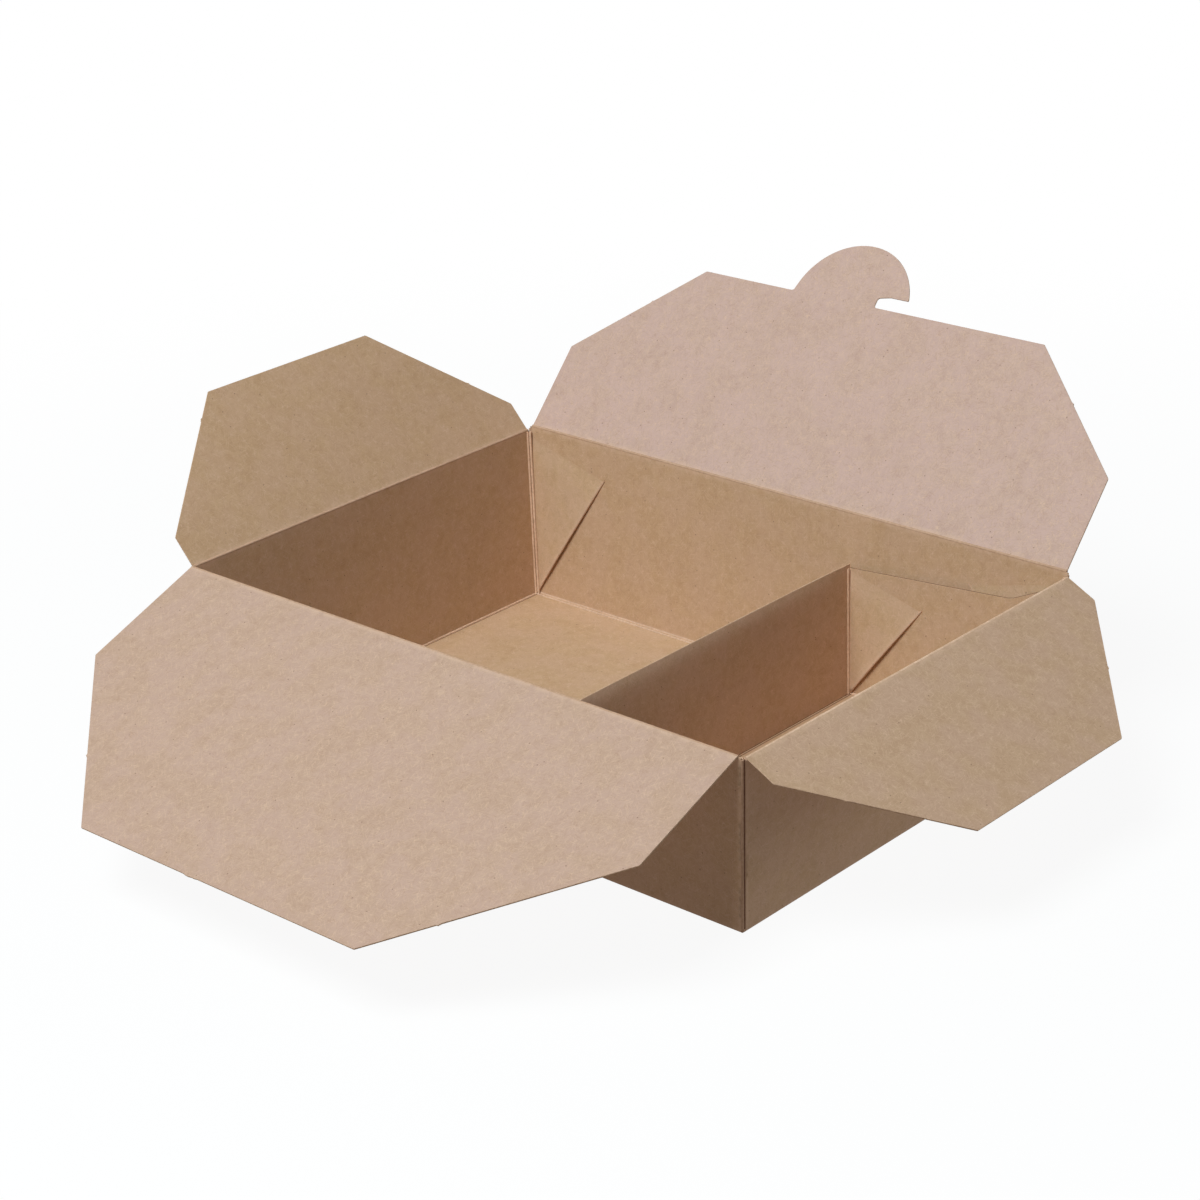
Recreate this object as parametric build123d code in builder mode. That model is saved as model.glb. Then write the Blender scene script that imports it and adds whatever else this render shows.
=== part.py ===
"""Two-compartment takeaway box of folded kraft board, standing open with its four flaps spread.

X runs along the long side, Y from front to back, Z up. The origin is the centre of the base's underside.
Sizes are in millimetres, angles in degrees.
"""
import math
import os

from build123d import *

# Card and its folds
board = 0.4
crease_gap = 0.05
fit_gap = 0.1
fold_radius = 0.38

# Tray: outside sizes, how far the walls lean out, and the step up to each flap that closes later
base_length = 183.0
base_width = 125.0
wall_lean = 6.0
wall_height = 51.0
flap_step = 0.6

# Webs folded double onto the long walls at the tray's corners
web_apex_in = 25.0
web_apex_height = 41.5
web_top_drop = 1.5
web_lift = 0.4
web_root = 0.2
ply_slit = 0.1
ply_slit_margin = 0.8
ply_slit_foot = 2.4
seam_width = 0.15
seam_depth = 0.25

# Divider insert: a leaning wall, a floor lining, and linings on the long walls
divider_foot = 30.0
divider_lean = 3.2
divider_height = 38.3
lining_left_height = 37.1
lining_bend_length = 51.0
lining_bend_height = 41.3
lining_right_height = 46.8
lining_foot_length = 60.2
lining_top_length = 62.9
insert_apex_in = 22.3
insert_apex_height = 30.9

# Flaps: depth from the hinge, length of the side edges, length along the hinge that the corner cuts take,
# and angle above level in the open pose
flap_margin = 1.2
flap_corner_radius = 0.8
front_flap_depth = 87.2
front_flap_edge = 38.0
front_flap_cut = 47.5
front_flap_angle = -21.0
back_flap_depth = 60.8
back_flap_edge = 27.5
back_flap_cut = 36.0
back_flap_angle = 47.2
side_flap_depth = 45.6
side_flap_edge = 9.4
side_flap_cut = 36.2
left_flap_angle = 48.5
right_flap_angle = -27.7

# Hook on the back flap: a disc sunk behind the flap's end, with a slot at its root, open to one side
hook_radius = 20.3
hook_sink = 1.9
hook_offset = -7.1
slot_start = 2.0
slot_height = 3.0
slot_bend = 4.0
slot_mouth = 3.9
hook_round = 0.9

# Slope of the walls, and the heights of the hinges and of the wall tops below them
flare = wall_lean / wall_height
rim_length = base_length + 2 * wall_lean
wall_angle = math.degrees(math.atan(flare))
hinge_clearance = board / 2 + crease_gap
front_hinge_height = wall_height + flap_step
back_hinge_height = front_hinge_height + flap_step
side_top = wall_height - hinge_clearance
front_top = front_hinge_height - hinge_clearance
back_top = back_hinge_height - hinge_clearance
up = Vector(0, 0, 1)


def half_length(height):
    """Outside half length of the tray at a height."""
    return base_length / 2 + flare * height


def half_width(height):
    """Outside half width of the tray at a height."""
    return base_width / 2 + flare * height


def back_wall_plane(inset):
    """Plane along the back wall, inset from its outer face: x along it, y up its slope, z inwards."""
    turn = math.radians(wall_angle)
    into_box = Vector(0, -math.cos(turn), math.sin(turn))
    return Plane(Vector(0, base_width / 2, 0) + into_box * inset, x_dir=(1, 0, 0), z_dir=into_box)


def on_plane(plane, x, height):
    """Point of a wall plane at a place along the wall and a height above the table."""
    return plane.from_local_coords(Vector(x, (height - plane.origin.Z) / plane.y_dir.Z, 0))


def web_plane(foot, top, lift):
    """Plane through a corner edge, turned off the back wall by lift: x out of the corner, y up the edge."""
    edge = (top - foot).normalized()
    into_box = back_wall_plane(0).z_dir
    across = edge.cross(into_box)
    turn = math.radians(lift)
    normal = into_box * math.cos(turn) - across * math.sin(turn)
    return Plane(foot + normal * crease_gap, x_dir=edge.cross(normal), z_dir=normal)


def add_web(plane, edge_length, apex):
    """Adds a web folded double: a triangle two plies thick, rooted along its edge, round along its fold."""
    with BuildSketch(plane) as triangle:
        with BuildLine():
            Polyline((-web_root, 0), apex, (-web_root, edge_length), close=True)
        make_face()
    fold_foot = plane.from_local_coords(Vector(0, 0, board))
    fold_end = plane.from_local_coords(Vector(*apex, board))
    with BuildSketch(Plane(fold_foot, z_dir=fold_end - fold_foot)) as fold:
        Circle(board)
    fold_length = (fold_end - fold_foot).length
    return [extrude(triangle.sketch, amount=2 * board), extrude(fold.sketch, amount=fold_length)]


def cut_ply_gap(plane, edge_length, apex):
    """Cuts the thin gap between the two plies of a web, open at its cut edge."""
    top = edge_length + ply_slit_margin
    with BuildSketch(plane.offset(board - ply_slit / 2)) as gap:
        with BuildLine():
            Polyline((ply_slit_margin, ply_slit_foot), (apex[0], apex[1] + ply_slit_margin),
                     (apex[0], top), (ply_slit_margin, top), close=True)
        make_face()
    return extrude(gap.sketch, amount=ply_slit, mode=Mode.SUBTRACT)


def flap_outline(half_root, depth, edge, cut):
    """A flap's outline: its hinge along x, its outer corners cut off with small round tips."""
    with BuildSketch(Plane.XY) as outline:
        with BuildLine():
            Polyline((-half_root, 0), (-half_root, edge), (-half_root + cut, depth),
                     (half_root - cut, depth), (half_root, edge), (half_root, 0), close=True)
        make_face()
        outer_corners = outline.vertices().filter_by_position(Axis.Y, flap_corner_radius, depth)
        fillet(outer_corners, radius=flap_corner_radius)
    return outline.sketch


def hook_outline(depth):
    """The hook beyond the back flap's end: part of a disc less its slot, with a round slot end and tip."""
    with BuildSketch(Plane.XY) as hook:
        with Locations((hook_offset, depth - hook_sink)):
            Circle(hook_radius)
        with Locations((hook_offset, depth - hook_radius)):
            Rectangle(2 * hook_radius, 2 * (hook_radius - board), mode=Mode.SUBTRACT)
        with BuildLine():
            slot_far = slot_start + 2 * hook_radius
            Polyline((slot_start, depth), (slot_far, depth), (slot_far, depth + slot_mouth),
                     (slot_start + slot_bend, depth + slot_mouth), (slot_start, depth + slot_height),
                     close=True)
        make_face(mode=Mode.SUBTRACT)
        slot_end = hook.vertices().sort_by_distance((slot_start, depth + slot_height))[0]
        tip = hook.vertices().sort_by_distance((hook_offset + hook_radius, depth + slot_mouth))[0]
        fillet([slot_end, tip], radius=hook_round)
    return hook.sketch


os.makedirs("parts", exist_ok=True)

# Tray: base and four sloping walls folded from one sheet
with BuildPart() as tray:
    with BuildSketch(Plane.XY):
        Rectangle(base_length, base_width)
    extrude(amount=back_top, taper=-wall_angle)
    base_edges, corner_edges, rim_edges = tray.edges().group_by(Axis.Z)
    fillet(base_edges + corner_edges, radius=fold_radius)
    with BuildSketch(Plane.XY.offset(board)):
        Rectangle(2 * (half_length(board) - board), 2 * (half_width(board) - board))
    extrude(amount=back_top, taper=-wall_angle, mode=Mode.SUBTRACT)
    # Wall tops step down from the back to the front to the sides
    with BuildSketch(Plane.XY.offset(side_top)):
        Rectangle(2 * rim_length, 2 * (half_width(side_top) - 2 * board))
    extrude(amount=wall_height, mode=Mode.SUBTRACT)
    with BuildSketch(Plane.XY.offset(front_top)):
        with Locations((0, -base_width)):
            Rectangle(2 * rim_length, 2 * base_width)
    extrude(amount=wall_height, mode=Mode.SUBTRACT)
    # Webs at the corners, folded inwards and laid on the long walls
    inner_wall = back_wall_plane(board)
    web_foot = on_plane(inner_wall, board - half_length(board), board)
    web_top = on_plane(inner_wall, board - half_length(side_top), side_top - web_top_drop)
    web = web_plane(web_foot, web_top, web_lift)
    web_edge = (web_top - web_foot).length
    apex = web.to_local_coords(on_plane(inner_wall, web_foot.X + web_apex_in, web_apex_height))
    web_apex = (apex.X, apex.Y)
    left_web = add_web(web, web_edge, web_apex)
    right_web = mirror(left_web, about=Plane.YZ)
    mirror([*left_web, right_web], about=Plane.XZ)
    # Gaps between the plies, and a seam outside each corner beside the long wall's folded edge
    left_gap = cut_ply_gap(web, web_edge, web_apex)
    seam_plane = back_wall_plane(2 * board)
    seam_top = back_hinge_height
    seam_corners = [(seam_depth, 0), (-board, 0), (-board, seam_top), (seam_depth, seam_top)]
    seam_points = [on_plane(seam_plane, x - half_length(z), z) for x, z in seam_corners]
    with BuildSketch(seam_plane):
        with BuildLine():
            Polyline(*[seam_plane.to_local_coords(point) for point in seam_points], close=True)
        make_face()
    left_seam = extrude(amount=seam_width, mode=Mode.SUBTRACT)
    right_cuts = mirror([left_gap, left_seam], about=Plane.YZ, mode=Mode.SUBTRACT)
    mirror([left_gap, left_seam, right_cuts], about=Plane.XZ, mode=Mode.SUBTRACT)
tray.part.label = "tray"
export_step(tray.part, "parts/tray.step")

# Divider insert: a second folded sheet glued into the right compartment, over the tray's webs
lining_inset = 2 * crease_gap + 3 * board + web_apex[0] * math.sin(math.radians(web_lift)) + fit_gap
lining = back_wall_plane(lining_inset)
lining_face = back_wall_plane(lining_inset + board)
floor_height = board + fit_gap
lining_depth = on_plane(lining, 0, floor_height).Y
with BuildPart() as divider_insert:
    with BuildSketch(Plane.XY.offset(floor_height)):
        with Locations((divider_foot, 0)):
            Rectangle(lining_foot_length, 2 * lining_depth, align=(Align.MIN, Align.CENTER))
    extrude(amount=board)
    divider_up = Vector(-divider_lean, 0, divider_height - floor_height)
    divider_face = Vector(0, 1, 0).cross(divider_up)
    divider_plane = Plane((divider_foot, 0, floor_height), x_dir=(0, 1, 0), z_dir=divider_face)
    divider_half_top = on_plane(lining, 0, divider_height).Y
    with BuildSketch(divider_plane):
        with BuildLine():
            Polyline((-lining_depth, 0), (lining_depth, 0), (divider_half_top, divider_up.length),
                     (-divider_half_top, divider_up.length), close=True)
        make_face()
    extrude(amount=board)
    lean = divider_lean / (divider_height - floor_height)
    lining_corners = [(0, floor_height), (lining_foot_length, floor_height),
                      (lining_top_length, lining_right_height), (lining_bend_length, lining_bend_height),
                      (-lean * (lining_left_height - floor_height), lining_left_height)]
    lining_points = [on_plane(lining, divider_foot + x, z) for x, z in lining_corners]
    with BuildSketch(lining):
        with BuildLine():
            Polyline(*[lining.to_local_coords(point) for point in lining_points], close=True)
        make_face()
    back_lining = extrude(amount=board)
    insert_foot = on_plane(lining_face, divider_foot + board, floor_height + board)
    insert_top = on_plane(lining_face, divider_foot + board + lining_corners[-1][0], lining_left_height)
    insert_web = web_plane(insert_foot, insert_top, web_lift)
    insert_edge = (insert_top - insert_foot).length
    insert_tip = on_plane(lining_face, insert_foot.X + insert_apex_in, insert_apex_height)
    apex = insert_web.to_local_coords(insert_tip)
    insert_apex = (apex.X, apex.Y)
    back_web = add_web(insert_web, insert_edge, insert_apex)
    mirror([back_lining, *back_web], about=Plane.XZ)
    back_gap = cut_ply_gap(insert_web, insert_edge, insert_apex)
    mirror(back_gap, about=Plane.XZ, mode=Mode.SUBTRACT)
divider_insert.part.label = "divider_insert"
export_step(divider_insert.part, "parts/divider_insert.step")

# Flaps: each hinged just outside the top of its wall
flaps = {
    "front_flap": (Vector(0, -1, 0), half_width, half_length, front_hinge_height,
                   front_flap_depth, front_flap_edge, front_flap_cut, front_flap_angle),
    "back_flap": (Vector(0, 1, 0), half_width, half_length, back_hinge_height,
                  back_flap_depth, back_flap_edge, back_flap_cut, back_flap_angle),
    "left_flap": (Vector(-1, 0, 0), half_length, half_width, wall_height,
                  side_flap_depth, side_flap_edge, side_flap_cut, left_flap_angle),
    "right_flap": (Vector(1, 0, 0), half_length, half_width, wall_height,
                   side_flap_depth, side_flap_edge, side_flap_cut, right_flap_angle),
}
for name, (outward, reach_at, root_at, hinge_height, depth, edge, cut, angle) in flaps.items():
    hinge = outward * (reach_at(hinge_height) + hinge_clearance) + up * hinge_height
    half_root = root_at(hinge_height) - flap_margin
    along = outward.cross(up)
    turn = math.radians(angle)
    flap_up = outward * math.cos(turn) + up * math.sin(turn)
    flap_plane = Plane(hinge, x_dir=along, z_dir=along.cross(flap_up))
    with BuildPart() as flap:
        with BuildSketch(flap_plane):
            add(flap_outline(half_root, depth, edge, cut))
            if name == "back_flap":
                add(hook_outline(depth))
        extrude(amount=board / 2, both=True)
        with BuildSketch(Plane(hinge - along * half_root, z_dir=along)):
            Circle(board / 2)
        extrude(amount=2 * half_root)
    flap.part.label = name
    export_step(flap.part, f"parts/{name}.step")
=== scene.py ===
"""Looks of an open two-compartment takeaway box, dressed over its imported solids.

Every piece is a sheet of kraft card with its real thickness, a roll of card along a fold, or part of the
plain studio. Lengths are in millimetres until a mesh is made, which is in metres.
"""
import logging
import math
from dataclasses import dataclass, field, replace
from enum import Enum
from typing import Any, Callable, Sequence

import bpy
import numpy as np
from mathutils import Matrix, Vector
from mathutils.geometry import delaunay_2d_cdt


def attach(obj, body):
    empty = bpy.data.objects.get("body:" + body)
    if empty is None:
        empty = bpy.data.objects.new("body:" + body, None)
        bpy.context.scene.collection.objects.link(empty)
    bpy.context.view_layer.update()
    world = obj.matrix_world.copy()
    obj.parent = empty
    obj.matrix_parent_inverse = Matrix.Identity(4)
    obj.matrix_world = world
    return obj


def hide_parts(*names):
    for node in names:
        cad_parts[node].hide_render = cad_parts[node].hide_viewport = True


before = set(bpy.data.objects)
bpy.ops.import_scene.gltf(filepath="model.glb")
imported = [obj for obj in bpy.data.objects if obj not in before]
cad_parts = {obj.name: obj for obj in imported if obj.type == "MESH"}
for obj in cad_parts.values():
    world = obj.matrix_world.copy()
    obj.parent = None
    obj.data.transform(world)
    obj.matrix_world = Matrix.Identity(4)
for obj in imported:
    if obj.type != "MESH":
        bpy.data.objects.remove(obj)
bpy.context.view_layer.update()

LOG = logging.getLogger("takeaway_box")
MM = 0.001
UP = np.array((0.0, 0.0, 1.0))
RIGHTWARDS = np.array((1.0, 0.0, 0.0))
BACKWARDS = np.array((0.0, 1.0, 0.0))

# Names of the flat map, and of the values that sheets and fold lines carry.
CARD_MAP = "card"
FOLD_DISTANCE = "fold_mm"
SCORE_DISTANCE = "score_mm"
GIRTH = "girth"

# The distance given where a sheet has no fold, the shift between the maps of two faces, and how close
# counts as touching.
FAR = 99.0
MAP_SHIFT = 137.0
TOUCHING = 1e-3
TINY = 1e-6

WHITE = (1.0, 1.0, 1.0)

Array = np.ndarray
Pair = tuple[float, float]
Edge = tuple[Pair, Pair]
Colour = tuple[float, float, float]
Lift = Callable[[Array], Array]


class Side(Enum):
    """The four sides of the box, each by the way that it faces."""

    FRONT = (0.0, -1.0, 0.0)
    BACK = (0.0, 1.0, 0.0)
    LEFT = (-1.0, 0.0, 0.0)
    RIGHT = (1.0, 0.0, 0.0)

    @property
    def outward(self) -> Array:
        """Unit vector out of the box."""
        return np.array(self.value)

    @property
    def along(self) -> Array:
        """Unit vector along the wall, to the right of someone looking at its inner face."""
        return np.cross(self.outward, UP)

    @property
    def is_long(self) -> bool:
        """True for the front and the back."""
        return self.value[1] != 0.0


class Finish(Enum):
    """The finish of a face of a card sheet, by its material slot."""

    FACE = 0
    CUT = 1
    # Painted light: the web's slot holds a paler copy of the face.
    WEB = 2
    # Painted light: the divider's slot holds a bluer, greyer copy of the face.
    DIVIDER = 3


def add_object(name: str, data: bpy.types.ID) -> bpy.types.Object:
    """Makes an object and links it to the scene.

    Args:
        name: Name of the object.
        data: Its mesh, lamp or camera.

    Returns:
        The object.
    """
    made = bpy.data.objects.new(name, data)
    bpy.context.scene.collection.objects.link(made)
    return made


# Card geometry


@dataclass(frozen=True)
class CardPlane:
    """The plane that a sheet of card lies in."""

    origin: Array
    along: Array
    up: Array

    @property
    def normal(self) -> Array:
        """Unit vector out of the sheet's seen side."""
        return np.cross(self.along, self.up)

    def place(self, flat: Array, lift: Array | float) -> Array:
        """Points of the plane, raised off it.

        Args:
            flat: Places along and up the plane, one row each.
            lift: Height of each point off the plane.

        Returns:
            The points, one row each.
        """
        raised = np.broadcast_to(np.asarray(lift, float), (len(flat),))
        return self.origin + flat @ np.stack([self.along, self.up]) + raised[:, None] * self.normal

    def up_to(self, height: float) -> float:
        """Distance up the plane to a height above the table."""
        return (height - self.origin[2]) / self.up[2]

    def at(self, along: float, height: float, lift: float = 0.0) -> Array:
        """Point at a place along the plane and a height above the table, raised off it."""
        return self.place(np.array([[along, self.up_to(height)]]), lift)[0]


@dataclass
class CardMesh:
    """Points and faces of card that will be one mesh."""

    points: Array = field(default_factory=lambda: np.zeros((0, 3)))
    flat: Array = field(default_factory=lambda: np.zeros((0, 2)))
    folds: Array = field(default_factory=lambda: np.zeros(0))
    scores: Array = field(default_factory=lambda: np.zeros(0))
    faces: list[tuple[int, ...]] = field(default_factory=list)
    finishes: list[Finish] = field(default_factory=list)

    def add(self, other: "CardMesh") -> None:
        """Takes in another mesh's points and faces.

        Args:
            other: The mesh to take in.
        """
        start = len(self.points)
        self.points = np.concatenate([self.points, other.points])
        self.flat = np.concatenate([self.flat, other.flat])
        self.folds = np.concatenate([self.folds, other.folds])
        self.scores = np.concatenate([self.scores, other.scores])
        self.faces += [tuple(start + i for i in face) for face in other.faces]
        self.finishes += other.finishes

    def mirrored(self, flips: Array) -> "CardMesh":
        """This mesh flipped about the middle planes.

        Args:
            flips: Factor of 1 or -1 for each axis.

        Returns:
            The flipped mesh, its faces still pointing outwards.
        """
        turned = np.prod(flips) < 0
        faces = [face[::-1] for face in self.faces] if turned else list(self.faces)
        return CardMesh(self.points * flips, self.flat + MAP_SHIFT * flips[:2], self.folds.copy(),
                        self.scores.copy(), faces, list(self.finishes))

    def build(self, name: str, materials: Sequence[bpy.types.Material],
              crease_angle: float = 50.0) -> bpy.types.Object:
        """Makes the Blender object.

        Args:
            name: Name of the piece.
            materials: Materials in the order of Finish.
            crease_angle: Angle in degrees above which an edge between faces stays sharp.

        Returns:
            The object, at the origin.
        """
        mesh = bpy.data.meshes.new(name)
        mesh.from_pydata((self.points * MM).tolist(), [], self.faces)
        for material in materials:
            mesh.materials.append(material)
        mesh.polygons.foreach_set("material_index", [finish.value for finish in self.finishes])
        mesh.polygons.foreach_set("use_smooth", [True] * len(self.faces))
        corners = np.zeros(len(mesh.loops), np.int32)
        mesh.loops.foreach_get("vertex_index", corners)
        mesh.uv_layers.new(name=CARD_MAP).data.foreach_set("uv", (self.flat[corners] * MM).ravel())
        mesh.attributes.new(FOLD_DISTANCE, "FLOAT", "POINT").data.foreach_set("value", self.folds)
        mesh.attributes.new(SCORE_DISTANCE, "FLOAT", "POINT").data.foreach_set("value", self.scores)
        mesh.set_sharp_from_angle(angle=math.radians(crease_angle))
        mesh.update()
        return add_object(name, mesh)


def distance_to(points: Array, starts: Array, ends: Array) -> Array:
    """Distance from each point to the nearest of some straight lines.

    Args:
        points: The points, one row each.
        starts: First ends of the lines.
        ends: Last ends of the lines.

    Returns:
        One distance for each point.
    """
    run = ends - starts
    share = np.einsum("psk,sk->ps", points[:, None] - starts, run) / np.einsum("sk,sk->s", run, run)
    foot = starts + np.clip(share, 0, 1)[..., None] * run
    return np.linalg.norm(points[:, None] - foot, axis=2).min(axis=1)


def is_inside(points: Array, ring: Array) -> Array:
    """Tells which points lie inside a closed outline, by crossings to the right of each.

    Args:
        points: The points, one row each.
        ring: The outline, one row for each point.

    Returns:
        True for each point that is inside.
    """
    x, y = points[:, :1], points[:, 1:]
    (x0, y0), (x1, y1) = ring.T, np.roll(ring, -1, axis=0).T
    spans = (y0 > y) != (y1 > y)
    cross = x0 + (y - y0) * (x1 - x0) / np.where(y1 == y0, 1.0, y1 - y0)
    return (spans & (x < cross)).sum(axis=1) % 2 == 1


def arc(centre: Pair, radius: float, start: float, end: float, steps: int) -> list[Pair]:
    """Points along an arc, with its angles in degrees."""
    angles = np.radians(np.linspace(start, end, steps + 1))
    return [(centre[0] + radius * math.cos(a), centre[1] + radius * math.sin(a)) for a in angles]


def rounded(before: Pair, corner: Pair, after: Pair, radius: float, steps: int = 4) -> list[Pair]:
    """Points that round a corner of an outline.

    Args:
        before: The point before the corner.
        corner: The corner.
        after: The point after the corner.
        radius: Radius of the rounding.
        steps: Number of straight runs in it.

    Returns:
        The points that take the corner's place.
    """
    here, back, ahead = (np.array(p) for p in (corner, before, after))
    back, ahead = (v / np.linalg.norm(v) for v in (back - here, ahead - here))
    half = math.acos(float(np.clip(back @ ahead, -1, 1))) / 2
    reach = radius / math.tan(half)
    t = np.linspace(0, 1, steps + 1)[:, None]
    first, last = here + back * reach, here + ahead * reach
    curve = (1 - t) ** 2 * first + 2 * t * (1 - t) * here + t ** 2 * last
    return [tuple(p) for p in curve]


@dataclass
class CardSheet:
    """A sheet of card with its real thickness, soft edges and, where it bulges, a lift off its plane."""

    plane: CardPlane
    outline: list[Pair]
    thickness: float
    folds: list[Edge]
    lift: Lift | None = None
    scores: list[Edge] = field(default_factory=list)
    edge_step: float = 2.5
    inner_step: float = 5.0
    edge_rows: tuple[float, ...] = (0.5, 1.2, 2.6)
    row_clearance: float = 0.95
    spread_clearance: float = 0.3
    edge_round: float = 0.07
    least_run: float = 0.2
    face_finish: Finish = Finish.FACE
    edge_finish: Finish = Finish.CUT
    taper: Lift | None = None

    def ring(self) -> Array:
        """The outline with its long runs divided.

        Returns:
            The points, one row each.
        """
        points: list[Array] = []
        for start, end in zip(self.outline, self.outline[1:] + self.outline[:1]):
            a, b = np.array(start), np.array(end)
            runs = max(1, math.ceil(np.linalg.norm(b - a) / self.edge_step))
            points += [a + (b - a) * i / runs for i in range(runs)]
        return np.array(points)

    def filling(self, ring: Array) -> Array:
        """Points inside the outline: rows close to its edges, then an even spread.

        Args:
            ring: The divided outline.

        Returns:
            The points, one row each.
        """
        ends = np.roll(ring, -1, axis=0)
        run = ends - ring
        inward = np.stack([-run[:, 1], run[:, 0]], axis=1) / np.linalg.norm(run, axis=1)[:, None]
        low, high = ring.min(axis=0), ring.max(axis=0)
        rise = self.inner_step * math.sqrt(3) / 2
        rows = np.arange(low[1], high[1], rise)
        across = np.arange(low[0], high[0], self.inner_step)
        spread = np.array([(x + self.inner_step / 2 * (j % 2), y)
                           for j, y in enumerate(rows) for x in across])
        groups = [((ring + ends) / 2 + inward * row, row * self.row_clearance) for row in self.edge_rows]
        groups.append((spread, self.edge_rows[-1] + self.spread_clearance * self.inner_step))
        kept = [group[is_inside(group, ring) & (distance_to(group, ring, ends) >= least)]
                for group, least in groups]
        return np.concatenate(kept)

    @staticmethod
    def _distance(flat: Array, lines: list[Edge]) -> Array:
        """Distance of each place from the nearest of some lines, or far where there are none.

        Args:
            flat: Places on the sheet, one row each.
            lines: The lines.

        Returns:
            One distance for each place.
        """
        if not lines:
            return np.full(len(flat), FAR)
        starts, ends = (np.array([line[i] for line in lines]) for i in (0, 1))
        return distance_to(flat, starts, ends)

    @staticmethod
    def _triangles(flat: Array, ring: Array) -> list[tuple[int, ...]]:
        """Triangles between all the places, those inside the outline only.

        Args:
            flat: Places on the sheet, those of the outline first.
            ring: The divided outline.

        Returns:
            The triangles, by the numbers of their places.
        """
        outline = list(range(len(ring)))
        made, _, faces, *_ = delaunay_2d_cdt([Vector(p) for p in flat], [], [outline], 1, TINY, False)
        if len(made) != len(flat):
            raise ValueError("the outline of a sheet crosses itself")
        middles = np.array([flat[list(face)].mean(axis=0) for face in faces])
        return [tuple(face) for face, kept in zip(faces, is_inside(middles, ring)) if kept]

    def _inward(self, ring: Array) -> Array:
        """Direction into the sheet at each point of its outline.

        Args:
            ring: The divided outline.

        Returns:
            One direction for each point, shorter than 1 only at a hairpin turn.
        """
        before, after = ring - np.roll(ring, 1, axis=0), np.roll(ring, -1, axis=0) - ring
        units = [v / np.linalg.norm(v, axis=1)[:, None] for v in (before, after)]
        run = units[0] + units[1]
        length = np.maximum(np.linalg.norm(run, axis=1), self.least_run)
        return np.stack([-run[:, 1], run[:, 0]], axis=1) / length[:, None]

    def mesh(self) -> CardMesh:
        """Makes the sheet: its two faces and the soft edge between them.

        Returns:
            The sheet, in its place.
        """
        ring = self.ring()
        count = len(ring)
        flat = np.concatenate([ring, self.filling(ring)])
        triangles = self._triangles(flat, ring)
        lift = self.lift(flat) if self.lift else np.zeros(len(flat))
        drawn = flat.copy()
        drawn[:count] += self._inward(ring) * self.edge_round
        half = self.thickness / 2 * (self.taper(flat) if self.taper else 1.0)
        points = np.concatenate([self.plane.place(drawn, lift + half), self.plane.place(drawn, lift - half),
                                 self.plane.place(ring, lift[:count])])
        near, scored = (self._distance(flat, lines) for lines in (self.folds, self.scores))
        total = len(flat)
        faces = list(triangles) + [tuple(total + i for i in face[::-1]) for face in triangles]
        finishes = [self.face_finish] * len(faces)
        middles = (ring + np.roll(ring, -1, axis=0)) / 2
        folded = self._distance(middles, self.folds) < TOUCHING
        for i in range(count):
            j, mid = (i + 1) % count, 2 * total
            faces += [(total + i, total + j, mid + j, mid + i), (mid + i, mid + j, j, i)]
            finishes += [self.face_finish if folded[i] else self.edge_finish] * 2
        place = np.concatenate([flat, flat + MAP_SHIFT, ring]) + MAP_SHIFT * self.plane.origin[:2]
        marks = [np.concatenate([mark, mark, mark[:count]]) for mark in (near, scored)]
        return CardMesh(points, place, *marks, faces, finishes)


# Shader graphs


class Wire:
    """A number in a node graph; arithmetic on it adds Math nodes."""

    def __init__(self, graph: "NodeGraph", socket: bpy.types.NodeSocket) -> None:
        """Wraps a socket of a graph."""
        self.graph = graph
        self.socket = socket

    def _math(self, operation: str, first: Any, second: Any) -> "Wire":
        """Adds a Math node."""
        return self.graph.wire("ShaderNodeMath", {"operation": operation}, {0: first, 1: second})

    def __add__(self, other: Any) -> "Wire":
        """Sum."""
        return self._math("ADD", self, other)

    def __radd__(self, other: Any) -> "Wire":
        """Sum with a number first."""
        return self._math("ADD", other, self)

    def __sub__(self, other: Any) -> "Wire":
        """Difference."""
        return self._math("SUBTRACT", self, other)

    def __rsub__(self, other: Any) -> "Wire":
        """Difference from a number."""
        return self._math("SUBTRACT", other, self)

    def __mul__(self, other: Any) -> "Wire":
        """Product."""
        return self._math("MULTIPLY", self, other)

    def __rmul__(self, other: Any) -> "Wire":
        """Product with a number first."""
        return self._math("MULTIPLY", other, self)

    def step(self, low: float, high: float) -> "Wire":
        """Goes smoothly from 0 at low to 1 at high."""
        return self.graph.wire("ShaderNodeMapRange", {"interpolation_type": "SMOOTHSTEP"},
                               {"Value": self, "From Min": low, "From Max": high})


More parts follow.
